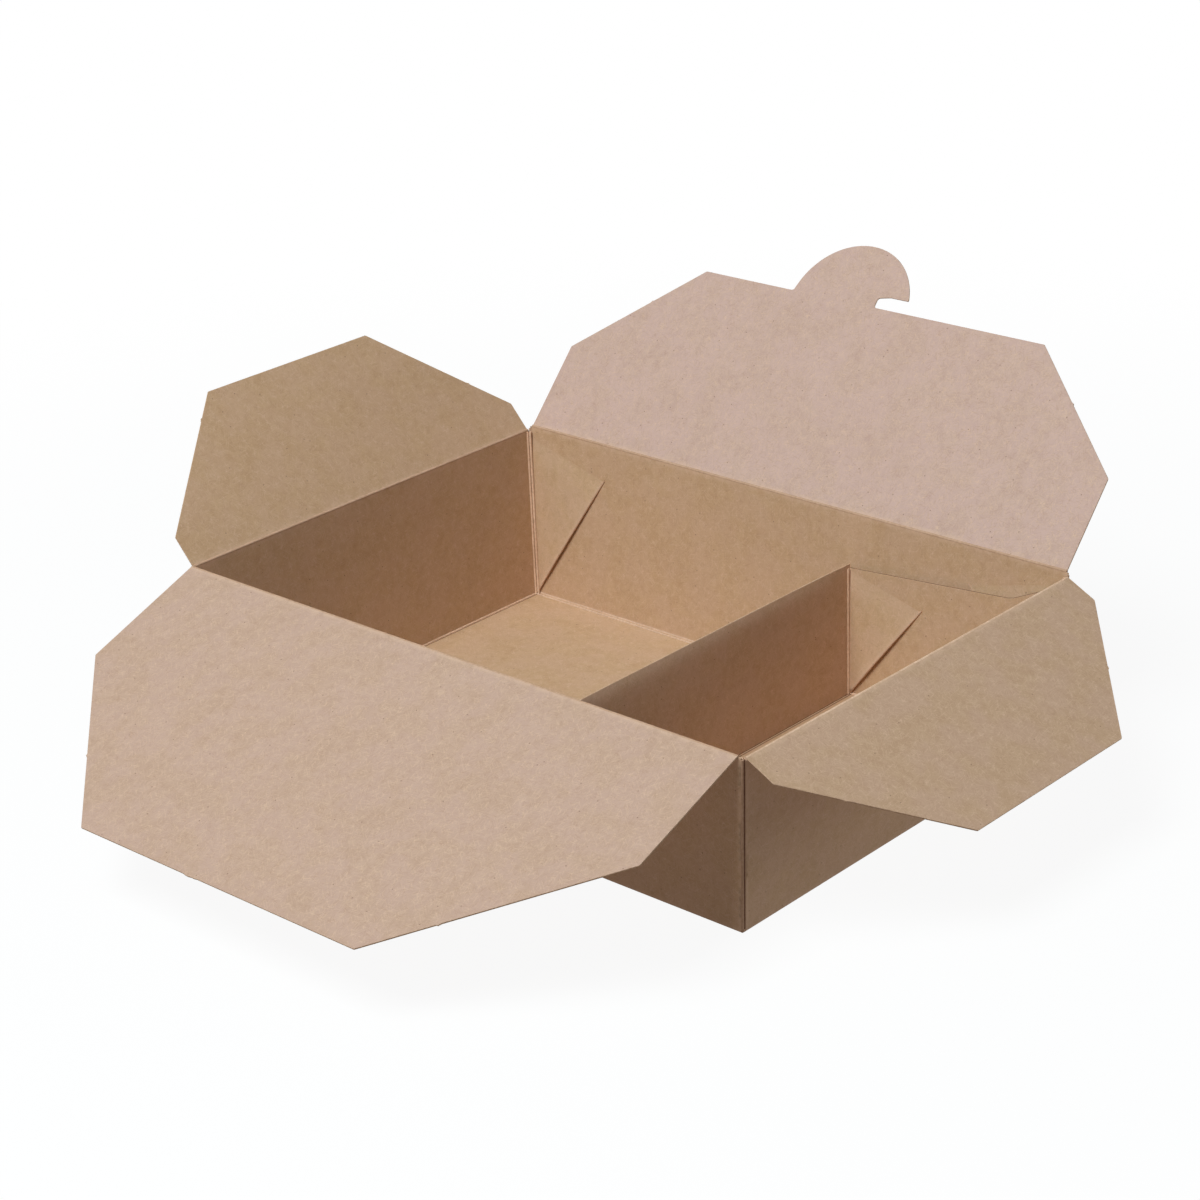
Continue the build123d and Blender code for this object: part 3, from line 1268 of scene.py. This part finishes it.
    def _up_corners(self, lines: Sequence[CornerLine]) -> list[FoldLine]:
        """Lines up all four corners.

        Args:
            lines: The lines of the back left corner.

        Returns:
            Each line in all the corners, then the next one.
        """
        ends = (self.sizes.board + self.bead_rise, self._wall_top(Side.LEFT) - self.bead_rise)
        made = []
        for line in lines:
            plane = self.sizes.wall_plane(Side.BACK, line.from_back)
            points = [plane.at(line.from_left - self.sizes.half_length(z), z) for z in ends]
            fold = FoldLine(points, [line.girth, line.girth])
            made += [fold.mirrored(flips) for flips in self.corners]
        return made

    def beads(self) -> list[FoldLine]:
        """Raised score beads inside: along the floor's short sides and up the corners."""
        lines = [self._floor_line(side, 0.0) for side in (Side.LEFT, Side.RIGHT)]
        return lines + self._up_corners(self.corner_beads)

    def painted_shades(self) -> list[FoldLine]:
        """Painted shade up the corners: dark rolls between the beads inside, and beside the rounded end
        outside.
        """
        return self._up_corners(self.corner_painted_shades)

    def rolls(self, web: FoldedWeb) -> list[FoldRoll]:
        """The rolls, beads and seams, one piece each.

        Args:
            web: The web whose folded edges are rolled.

        Returns:
            What the roller needs for each piece.
        """
        looks = self.finishes
        web_folds = [web.fold().mirrored(flips) for flips in self.corners]
        return [
            FoldRoll("tray_folds", self.outer_folds(), self.roll_radius, looks.fold, wobble=0.02),
            FoldRoll("tray_corner_folds", self.end_folds(), self.end_roll_radius, looks.fold, wobble=0.03),
            FoldRoll("tray_web_folds", web_folds, web.roll_radius, looks.fold, wobble=0.02, seed=3.0,
                     spacing=1.5),
            FoldRoll("tray_score_beads", self.beads(), self.bead_radius, looks.bead, wobble=0.1, seed=5.0),
            # Dark rolls of painted shade in the corners.
            FoldRoll("tray_corner_seams", self.painted_shades(), self.painted_shade_radius, looks.seam, wobble=0.02, seed=6.0),
            FoldRoll("tray_floor_folds", self.floor_folds(), self.floor_roll_radius, looks.worn, wobble=0.08,
                     seed=4.0),
        ]

    def build(self, roller: FoldRoller) -> list[bpy.types.Object]:
        """Makes the tray's pieces.

        Args:
            roller: Makes the rolls along the folds.

        Returns:
            The sheets, then the rolls and beads.
        """
        card = self.base()
        for side in Side:
            card.add(self.wall(side))
        web = self.web()
        plies = web.sheets()
        for flips in self.corners:
            card.add(plies.mirrored(flips))
        sheets = card.build("tray_card", self.finishes.sheet)
        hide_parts("tray")
        pieces = [sheets, *(roller.roll(rolls) for rolls in self.rolls(web))]
        for piece in pieces:
            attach(piece, "box")
        return pieces


@dataclass
class DividerInsert:
    """The second sheet: a leaning divider, a floor lining, and linings with webs on the long walls."""

    sizes: BoxSizes
    finishes: CardFinishes
    inset: float = 1.575
    foot: float = 30.0
    lean: float = 3.2
    height: float = 38.3
    left_height: float = 37.1
    bend_length: float = 51.0
    bend_height: float = 41.3
    right_height: float = 46.8
    foot_length: float = 60.2
    top_length: float = 62.9
    apex_in: float = 22.3
    apex_height: float = 30.9
    roll_radius: float = 0.21
    bead_radius: float = 0.4
    bead_rise: float = 0.05
    corner_bead_in: float = 2.3
    # The dark lines of painted shade: their radius, and the girth of the one along the divider's foot.
    painted_shade_radius: float = 0.055
    foot_painted_shade: float = 2.9
    web_bulge: float = 0.55
    curl: float = 0.65
    curl_depth: float = 4.5
    curl_hold: int = 6
    floor_rows: tuple[float, ...] = (0.3, 0.55, 0.85, 1.2, 2.6)
    divider_rows: tuple[float, ...] = (0.5, 1.2, 2.2, 3.4, 4.8)

    @property
    def ends(self) -> list[Array]:
        """Flips that take the back end to each end."""
        return [np.array((1.0, sign, 1.0)) for sign in (1.0, -1.0)]

    @property
    def floor(self) -> float:
        """Height of the floor lining's underside."""
        return self.sizes.board + self.sizes.fit_gap

    def _shift(self, height: float) -> float:
        """How far the divider has leaned at a height."""
        return -self.lean * (height - self.floor) / (self.height - self.floor)

    def _depth(self, height: float) -> float:
        """Half width of the insert between the middles of its linings, at a height."""
        return float(self.sizes.wall_plane(Side.BACK, self.inset + self.sizes.board / 2).at(0.0, height)[1])

    def _lining_top(self) -> list[Pair]:
        """Places along the wall and heights of the lining's cut top edge, from right to left."""
        left = self.foot + self.sizes.board / 2 + self._shift(self.left_height)
        return [(self.foot + self.top_length, self.right_height),
                (self.foot + self.bend_length, self.bend_height), (left, self.left_height)]

    def lining(self) -> CardMesh:
        """The lining of the back wall.

        Returns:
            The lining's sheet, which is mirrored to the front wall.
        """
        half = self.sizes.board / 2
        plane = self.sizes.wall_plane(Side.BACK, self.inset + half)
        low = self.floor + half
        places = [(self.foot + half, low), (self.foot + self.foot_length, low), *self._lining_top()]
        corners = [(x, plane.up_to(z)) for x, z in places]
        folds = [(corners[0], corners[1]), (corners[4], corners[0])]
        return CardSheet(plane, corners, self.sizes.board, folds, edge_finish=Finish.FACE).mesh()

    def floor_sheet(self) -> CardMesh:
        """The floor lining.

        Returns:
            The lining's sheet.
        """
        half = self.sizes.board / 2
        level = self.floor + half
        x0, x1, y = self.foot + half, self.foot + self.foot_length, self._depth(level)
        corners = [(x0, -y), (x1, -y), (x1, y), (x0, y)]
        plane = CardPlane(UP * level, RIGHTWARDS, BACKWARDS)
        folds = [(corners[0], corners[1]), (corners[2], corners[3])]
        # The divider's foot gets a painted shade line beside it.
        return CardSheet(plane, corners, self.sizes.board, folds, scores=[(corners[3], corners[0])],
                         edge_rows=self.floor_rows).mesh()

    def divider(self) -> CardMesh:
        """The leaning divider.

        Returns:
            The divider's sheet.
        """
        half = self.sizes.board / 2
        rise = np.array((-self.lean, 0.0, self.height - self.floor))
        up = rise / np.linalg.norm(rise)
        origin = np.array((self.foot, 0.0, self.floor)) + np.cross(BACKWARDS, up) * half
        plane = CardPlane(origin, BACKWARDS, up)
        low, top = self._depth(self.floor + half), self._depth(self.height)
        high = plane.up_to(self.height)
        corners = [(-low, half), (low, half), (top, high), (-top, high)]
        folds = [(corners[0], corners[1]), (corners[1], corners[2]), (corners[3], corners[0])]

        def curled(flat: Array) -> Array:
            """The free top edge bends a little to the left, between its held ends.

            Args:
                flat: Places along and up the divider, one row each.

            Returns:
                One lift for each place.
            """
            near_top = np.clip(1 - (high - flat[:, 1]) / self.curl_depth, 0.0, 1.0)
            free = 1 - np.clip(np.abs(flat[:, 0]) / top, 0.0, 1.0) ** self.curl_hold
            return -self.curl * near_top ** 2 * free
        return CardSheet(plane, corners, self.sizes.board, folds, curled, face_finish=Finish.DIVIDER,
                         edge_rows=self.divider_rows).mesh()

    def web(self) -> FoldedWeb:
        """The web between the divider and the back lining.

        Returns:
            The web, which is mirrored to the front lining.
        """
        board, sizes = self.sizes.board, self.sizes
        low = self.floor + board
        plane = sizes.wall_plane(Side.BACK, self.inset + board + sizes.crease_gap)
        foot = self.foot + board
        top = self.left_height
        return FoldedWeb(plane, (foot + self._shift(low), low), (foot + self._shift(top), top),
                         (foot + self.apex_in, self.apex_height), bulge=self.web_bulge)

    def folds(self) -> list[FoldLine]:
        """Folds of the divider and of the linings' feet, at the middle of the card.

        Returns:
            The folds' lines.
        """
        half = self.sizes.board / 2
        level = self.floor + half
        x0, x1, y = self.foot + half, self.foot + self.foot_length, self._depth(level)
        a, b, c, d = (np.array((*p, level)) for p in ((x0, -y), (x0, y), (x1, y), (x1, -y)))
        lines = [FoldLine.straight(a, b), FoldLine.straight(b, c), FoldLine.straight(d, a)]
        for sign in (-1, 1):
            ends = [np.array((self.foot + half + self._shift(z), sign * self._depth(z), z))
                    for z in (level, self.left_height)]
            lines.append(FoldLine.straight(*ends))
        return lines

    def beads(self) -> list[FoldLine]:
        """Raised score beads: along the linings' feet and up the corners.

        Returns:
            The beads' lines.
        """
        board = self.sizes.board
        level = self.floor + board + self.bead_rise
        x0, x1, y = self.foot + board, self.foot + self.foot_length, self._depth(level) - board / 2
        lines = []
        for sign in (-1, 1):
            lines.append(FoldLine.straight(*(np.array((x, sign * y, level)) for x in (x0, x1))))
            depths = [(z, self._depth(z) - self.corner_bead_in * board) for z in (level, self.left_height)]
            ends = [np.array((self.foot + board + self._shift(z), sign * depth, z)) for z, depth in depths]
            lines.append(FoldLine.straight(*ends))
        return lines

    def painted_shades(self) -> list[FoldLine]:
        """Painted shade: dark lines along the divider's foot, and at the linings' cut top edges where shadow
        gaps fall.

        Returns:
            The lines of the painted shade.
        """
        half = self.sizes.board / 2
        level = self.floor + 2 * half + self.bead_rise
        end = np.array((self.foot + 2 * half, self._depth(level) - half, level))
        lines = [FoldLine([end * (1.0, -1.0, 1.0), end], [self.foot_painted_shade, self.foot_painted_shade])]
        plane = self.sizes.wall_plane(Side.BACK, self.inset + half)
        edge = FoldLine([plane.at(x, z + self.painted_shade_radius) for x, z in self._lining_top()], [1.0, 1.0, 1.0])
        return lines + [edge.mirrored(flips) for flips in self.ends]

    def rolls(self, web: FoldedWeb) -> list[FoldRoll]:
        """The rolls, beads and seams, one piece each.

        Args:
            web: The web whose folded edges are rolled.

        Returns:
            What the roller needs for each piece.
        """
        looks = self.finishes
        web_folds = [web.fold().mirrored(flips) for flips in self.ends]
        return [
            FoldRoll("insert_folds", self.folds(), self.roll_radius, looks.fold, wobble=0.02, seed=7.0),
            FoldRoll("insert_web_folds", web_folds, web.roll_radius, looks.fold, wobble=0.02, seed=8.0,
                     spacing=1.5),
            FoldRoll("insert_score_beads", self.beads(), self.bead_radius, looks.bead, wobble=0.08,
                     seed=9.0),
            # Dark rolls of painted shade along the divider's foot and the linings' top edges.
            FoldRoll("insert_seams", self.painted_shades(), self.painted_shade_radius, looks.seam, wobble=0.02, seed=10.0),
        ]

    def build(self, roller: FoldRoller) -> list[bpy.types.Object]:
        """Makes the insert's pieces.

        Args:
            roller: Makes the rolls along the folds.

        Returns:
            The sheets, then the rolls and beads.
        """
        card = self.floor_sheet()
        card.add(self.divider())
        web = self.web()
        lining, plies = self.lining(), web.sheets()
        for flips in self.ends:
            card.add(lining.mirrored(flips))
            card.add(plies.mirrored(flips))
        sheets = card.build("insert_card", self.finishes.sheet)
        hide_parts("divider_insert")
        pieces = [sheets, *(roller.roll(rolls) for rolls in self.rolls(web))]
        for piece in pieces:
            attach(piece, "box")
        return pieces


@dataclass
class Hook:
    """The hook on the back flap's end: a disc sunk behind it, with a slot at its root, open to one side."""

    radius: float = 20.3
    sink: float = 1.9
    offset: float = -7.1
    slot_start: float = 2.0
    slot_height: float = 3.0
    slot_bend: float = 4.0
    slot_mouth: float = 3.9
    round: float = 0.9
    tip_round: float = 0.45
    heel_round: float = 1.2
    arc_trim: float = 3.0
    arc_steps: int = 44
    straight: float = 5.0

    def outline(self, depth: float) -> list[Pair]:
        """Points from the slot round to the hook's other end.

        Args:
            depth: Depth of the flap.

        Returns:
            The points, in the order of the flap's outline.
        """
        first, last = (math.asin((self.sink + rise) / self.radius) for rise in (self.slot_mouth, 0.0))
        root, inner = (self.slot_start, depth), (self.slot_start, depth + self.slot_height)
        bend = (self.slot_start + self.slot_bend, depth + self.slot_mouth)
        tip = (self.offset + self.radius * math.cos(first), depth + self.slot_mouth)
        heel = (self.offset - self.radius * math.cos(last), depth)
        curve = arc((self.offset, depth - self.sink), self.radius, math.degrees(first) + self.arc_trim,
                    180.0 - self.arc_trim - math.degrees(last), self.arc_steps)
        before, after = (root[0] + self.straight, depth), (heel[0] - self.straight, depth)
        return (rounded(before, root, inner, self.round) + rounded(root, inner, bend, self.round)
                + rounded(inner, bend, tip, self.round) + rounded(bend, tip, curve[0], self.tip_round)
                + curve + rounded(curve[-1], heel, after, self.heel_round))


@dataclass(frozen=True, order=True)
class Nick:
    """A small bump where the blank was broken from its sheet: its edge, place along it, and width."""

    edge: int
    share: float
    width: float


@dataclass
class Flap:
    """One flap, hinged just outside the top of its wall."""

    sizes: BoxSizes
    finishes: CardFinishes
    side: Side
    depth: float
    edge: float
    cut: float
    angle: float
    hook: Hook | None = None
    nicks: tuple[Nick, ...] = ()
    nick_shape: tuple[Pair, ...] = (
        (-0.5, 0.0), (-0.3, 0.8), (-0.1, 1.0), (0.15, 0.4), (0.3, 0.6), (0.5, 0.0))
    nick_height: float = 0.28
    margin: float = 1.2
    corner_radius: float = 0.8
    hinge_radius: float = 0.47
    hinge_in: float = 0.25
    hinge_drop: float = 0.15
    first_seed: float = 11.0

    @property
    def name(self) -> str:
        """The flap's name."""
        return self.side.name.lower()

    @property
    def half_root(self) -> float:
        """Half length of the hinge."""
        return self.sizes.span(self.side, self.sizes.hinge_height(self.side)) - self.margin

    def _nicked(self, corners: list[Pair]) -> list[Pair]:
        """The outline with the small bumps left where the blank was broken from its sheet.

        Args:
            corners: The flap's corners.

        Returns:
            All the outline's points.
        """
        points: list[Pair] = []
        count = len(corners)
        for i, corner in enumerate(corners):
            before, after = corners[i - 1], corners[(i + 1) % count]
            at_root = corner[1] == 0.0
            points += [corner] if at_root else rounded(before, corner, after, self.corner_radius)
            start, end = np.array(corner), np.array(after)
            run = (end - start) / np.linalg.norm(end - start)
            outward = np.array((run[1], -run[0]))
            for nick in sorted(self.nicks):
                if nick.edge == i:
                    middle = start + (end - start) * nick.share
                    points += [tuple(middle + run * nick.width * x + outward * self.nick_height * y)
                               for x, y in self.nick_shape]
        return points

    def outline(self) -> list[Pair]:
        """The flap's outline, anticlockwise from one end of its hinge.

        Returns:
            The outline's points.
        """
        half, end, depth = self.half_root, self.half_root - self.cut, self.depth
        corners = [(-half, 0.0), (half, 0.0), (half, self.edge), (end, depth), (-end, depth),
                   (-half, self.edge)]
        points = self._nicked(corners)
        if self.hook:
            split = next(i for i, (x, y) in enumerate(points) if y >= depth - TINY and x < self.hook.offset)
            points = points[:split] + self.hook.outline(depth) + points[split:]
        return points

    def build(self, roller: FoldRoller) -> list[bpy.types.Object]:
        """Makes the flap's pieces.

        Args:
            roller: Makes the roll along the hinge.

        Returns:
            The flap, and the roll of its crease, which stays with the box.
        """
        turn = math.radians(self.angle)
        hinge = self.sizes.hinge(self.side)
        plane = CardPlane(hinge, self.side.along, self.side.outward * math.cos(turn) + UP * math.sin(turn))
        outline = self.outline()
        card = CardSheet(plane, outline, self.sizes.board, [(outline[0], outline[1])]).mesh()
        sheet = card.build(f"{self.name}_flap_card", self.finishes.flap_sheet(self.side))
        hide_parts(f"{self.name}_flap")
        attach(sheet, self.name)
        along = self.side.along * self.half_root
        axis = hinge - self.side.outward * self.hinge_in - UP * self.hinge_drop
        # The right hinge's roll takes the bead finish: a pale worn crease and a painted highlight.
        finish = self.finishes.bead if self.side is Side.RIGHT else self.finishes.fold
        line = FoldLine.straight(axis - along, axis + along)
        crease = roller.roll(FoldRoll(f"{self.name}_flap_crease", [line], self.hinge_radius, finish,
                                      wobble=0.03, seed=self.first_seed + self.angle))
        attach(crease, "box")
        return [sheet, crease]


# The studio


@dataclass(frozen=True)
class SoftLight:
    """A large square lamp, aimed at a point; lengths in metres."""

    name: str
    place: tuple[float, float, float]
    aim: tuple[float, float, float]
    size: float
    power: float
    colour: Colour

    def build(self) -> None:
        """Makes the lamp."""
        lamp = bpy.data.lights.new(self.name, "AREA")
        lamp.shape = "SQUARE"
        lamp.size = self.size
        lamp.energy = self.power
        lamp.color = self.colour
        holder = add_object(self.name, lamp)
        holder.location = self.place
        holder.rotation_euler = (Vector(self.aim) - Vector(self.place)).to_track_quat("-Z", "Y").to_euler()


@dataclass(frozen=True)
class PhotoCamera:
    """The camera, placed and turned as the picture was taken; the image is square."""

    place: tuple[float, float, float] = (0.492096, -0.543929, 0.357537)
    azimuth: float = 42.6208
    elevation: float = 23.2055
    roll: float = -2.3648
    focal_pixels: float = 2953.94
    image_pixels: float = 1200.0
    sensor: float = 36.0

    def build(self) -> None:
        """Makes the camera and gives it to the scene."""
        turn, tilt, roll = (math.radians(a) for a in (self.azimuth, self.elevation, self.roll))
        level_share = math.cos(tilt)
        ahead = np.array((-math.sin(turn) * level_share, math.cos(turn) * level_share, -math.sin(tilt)))
        level = np.cross(ahead, UP) / np.linalg.norm(np.cross(ahead, UP))
        top = np.cross(level, ahead)
        right = level * math.cos(roll) + top * math.sin(roll)
        data = bpy.data.cameras.new("camera")
        data.sensor_width = self.sensor
        data.lens = self.focal_pixels * self.sensor / self.image_pixels
        holder = add_object("camera", data)
        axes = np.stack([right, np.cross(right, ahead), -ahead], axis=1)
        holder.matrix_world = Matrix.Translation(self.place) @ Matrix(axes.tolist()).to_4x4()
        bpy.context.scene.camera = holder


@dataclass(frozen=True)
class Studio:
    """Pale floor, soft lamps and a white surround."""

    lamps: tuple[SoftLight, ...]
    ambient: Colour = (0.73, 0.81, 1.0)
    ambient_strength: float = 0.066
    floor_size: float = 12.0
    floor_seen: Colour = (0.94, 0.94, 0.94)
    floor_bounce: Colour = (0.05, 0.05, 0.05)
    floor_fill: float = 0.29
    fill_colour: Colour = (1.0, 0.9, 0.81)
    floor_glow: float = 0.93
    glow_start: float = 0.16
    glow_end: float = 0.5

    @staticmethod
    def _white_rays(graph: NodeGraph) -> Wire:
        """Tells the camera's, reflected and transmitted rays, which see the surround as white.

        Args:
            graph: The graph to add to.

        Returns:
            1 for those rays and 0 for the others.
        """
        rays = graph.node("ShaderNodeLightPath").outputs
        camera, glossy, through = (Wire(graph, rays[f"Is {kind} Ray"])
                                   for kind in ("Camera", "Glossy", "Transmission"))
        return graph.wire("ShaderNodeClamp", None, {0: camera + glossy + through})

    def _floor(self) -> None:
        """The floor: white to the camera, with the box's soft shadow, and a dim, even light elsewhere."""
        half = self.floor_size / 2
        corners = [(-half, -half, 0.0), (half, -half, 0.0), (half, half, 0.0), (-half, half, 0.0)]
        mesh = bpy.data.meshes.new("floor")
        mesh.from_pydata(corners, [], [(0, 1, 2, 3)])
        material, graph = new_material("pale_floor")
        seen = self._white_rays(graph)
        place = graph.node("ShaderNodeTexCoord").outputs["Object"]
        away = graph.wire("ShaderNodeVectorMath", {"operation": "LENGTH"}, {0: place}, "Value")
        white = self.floor_glow + (1 - self.floor_glow) * away.step(self.glow_start, self.glow_end)
        glow_share = seen * white + (1 - seen) * self.floor_fill
        diffuse = graph.node("ShaderNodeBsdfDiffuse", None,
                             {"Color": graph.mix(seen, self.floor_bounce, self.floor_seen)})
        glow = graph.node("ShaderNodeEmission", None, {
            "Color": graph.mix(seen, self.fill_colour, WHITE), "Strength": 1.0})
        mixed = graph.node("ShaderNodeMixShader", None,
                           {0: glow_share, 1: diffuse.outputs[0], 2: glow.outputs[0]})
        graph.node("ShaderNodeOutputMaterial", None, {"Surface": mixed.outputs[0]})
        mesh.materials.append(material)
        floor = add_object("floor", mesh)

    def _surround(self) -> None:
        """The surround: white to the camera, and the ambient light elsewhere."""
        world = bpy.data.worlds.new("surround")
        world.use_nodes = True
        bpy.context.scene.world = world
        graph = NodeGraph(world.node_tree)
        seen = self._white_rays(graph)
        white = graph.node("ShaderNodeBackground", None, {"Color": (*WHITE, 1.0), "Strength": 1.0})
        soft = graph.node("ShaderNodeBackground", None,
                          {"Color": (*self.ambient, 1.0), "Strength": self.ambient_strength})
        mixed = graph.node("ShaderNodeMixShader", None, {0: seen, 1: soft.outputs[0], 2: white.outputs[0]})
        graph.node("ShaderNodeOutputWorld", None, {"Surface": mixed.outputs[0]})

    def build(self) -> None:
        """Makes the studio."""
        bpy.context.scene.view_settings.view_transform = "Standard"
        self._floor()
        self._surround()
        for lamp in self.lamps:
            lamp.build()


def kraft() -> CardFinishes:
    """The kraft card that both sheets are cut from.

    Returns:
        The card's materials.
    """
    # The face's last colour is painted shade: the dark line beside each scored fold.
    face = KraftFinish("kraft_face", light=linear(204, 167, 132), dark=linear(191, 153, 117),
                       blush=linear(203, 165, 136), fibre_light=linear(218, 184, 156),
                       fibre_dark=linear(163, 121, 92), speck=linear(106, 68, 49),
                       worn=linear(216, 180, 152), score=linear(114, 78, 55))
    # Painted light: the long flaps' copies are rosier and bluer for the sheen on them, and the right flap's
    # is greyer for the light on it.
    front = replace(face, name="kraft_front_face", light=linear(197, 163, 142), dark=linear(186, 152, 130),
                    blush=linear(196, 162, 147))
    back = replace(face, name="kraft_back_face", light=linear(204, 171, 155), dark=linear(191, 157, 142),
                   blush=linear(204, 170, 160))
    right = replace(face, name="kraft_right_face", light=linear(198, 163, 133), dark=linear(185, 149, 119),
                    blush=linear(197, 161, 139))
    # Painted light: the webs are paler than the walls they lie on, for the light on their tilted plies.
    web = replace(face, name="kraft_web_face", light=linear(208, 173, 138), dark=linear(195, 159, 123),
                  blush=linear(207, 171, 143))
    # Painted light: the divider is tinted bluer and greyer than the face, for the light on its shaded sides.
    divider = replace(face, name="kraft_divider_face", light=linear(202, 168, 139),
                      dark=linear(189, 154, 124), blush=linear(201, 166, 143))
    cut = CutFinish("kraft_cut", light=linear(218, 184, 154), dark=linear(191, 152, 121))
    fold = CutFinish("kraft_fold", light=linear(204, 167, 140), dark=linear(189, 151, 123), grain=1200.0)
    worn = replace(fold, name="kraft_worn_fold", light=linear(219, 187, 161), dark=linear(204, 170, 144))
    # A pale worn crease, and a painted highlight: made paler still where the beads lie in shade.
    bead = replace(fold, name="kraft_bead", light=linear(236, 199, 170), dark=linear(216, 177, 147))
    # Painted shade: a dark roll finish for corners and gaps where shadow falls.
    seam = replace(fold, name="kraft_seam", light=linear(124, 86, 62), dark=linear(106, 72, 53))
    parts = (face, front, back, right, web, divider, cut, fold, worn, bead, seam)
    return CardFinishes(*(part.build() for part in parts))


def main() -> None:
    """Builds the box and the studio."""
    logging.basicConfig(level=logging.INFO, format="%(name)s: %(message)s")
    sizes = BoxSizes()
    finishes = kraft()
    roller = FoldRoller()
    PhotoCamera().build()
    makers = [
        Tray(sizes, finishes),
        DividerInsert(sizes, finishes),
        Flap(sizes, finishes, Side.FRONT, depth=87.2, edge=38.0, cut=47.5, angle=-21.0,
             nicks=(Nick(3, 0.42, 5.0), Nick(2, 0.6, 1.2), Nick(4, 0.3, 1.2))),
        Flap(sizes, finishes, Side.BACK, depth=60.8, edge=27.5, cut=36.0, angle=47.2, hook=Hook(),
             nicks=(Nick(2, 0.55, 1.2), Nick(4, 0.4, 1.2))),
        Flap(sizes, finishes, Side.LEFT, depth=45.6, edge=9.4, cut=36.2, angle=48.5,
             nicks=(Nick(2, 0.3, 1.2), Nick(4, 0.2, 1.4))),
        Flap(sizes, finishes, Side.RIGHT, depth=45.6, edge=9.4, cut=36.2, angle=-27.7,
             nicks=(Nick(2, 0.35, 1.4), Nick(4, 0.5, 1.2))),
    ]
    for maker in makers:
        for piece in maker.build(roller):
            LOG.info("%s: %d faces", piece.name, len(piece.data.polygons))
    middle = (0.0, 0.0, 0.03)
    Studio(lamps=(
        SoftLight("top_front", (0.0, -0.75, 1.3), middle, size=0.7, power=21.3, colour=(0.895, 0.99, 1.0)),
        SoftLight("key", (-0.7, -1.1, 1.1), middle, size=0.8, power=2.3, colour=(0.64, 0.84, 1.0)),
        SoftLight("near_right", (0.75, 0.75, 0.18), middle, size=0.35, power=1.95, colour=(0.86, 0.98, 1.0)),
    )).build()


if __name__ == "__main__":
    main()
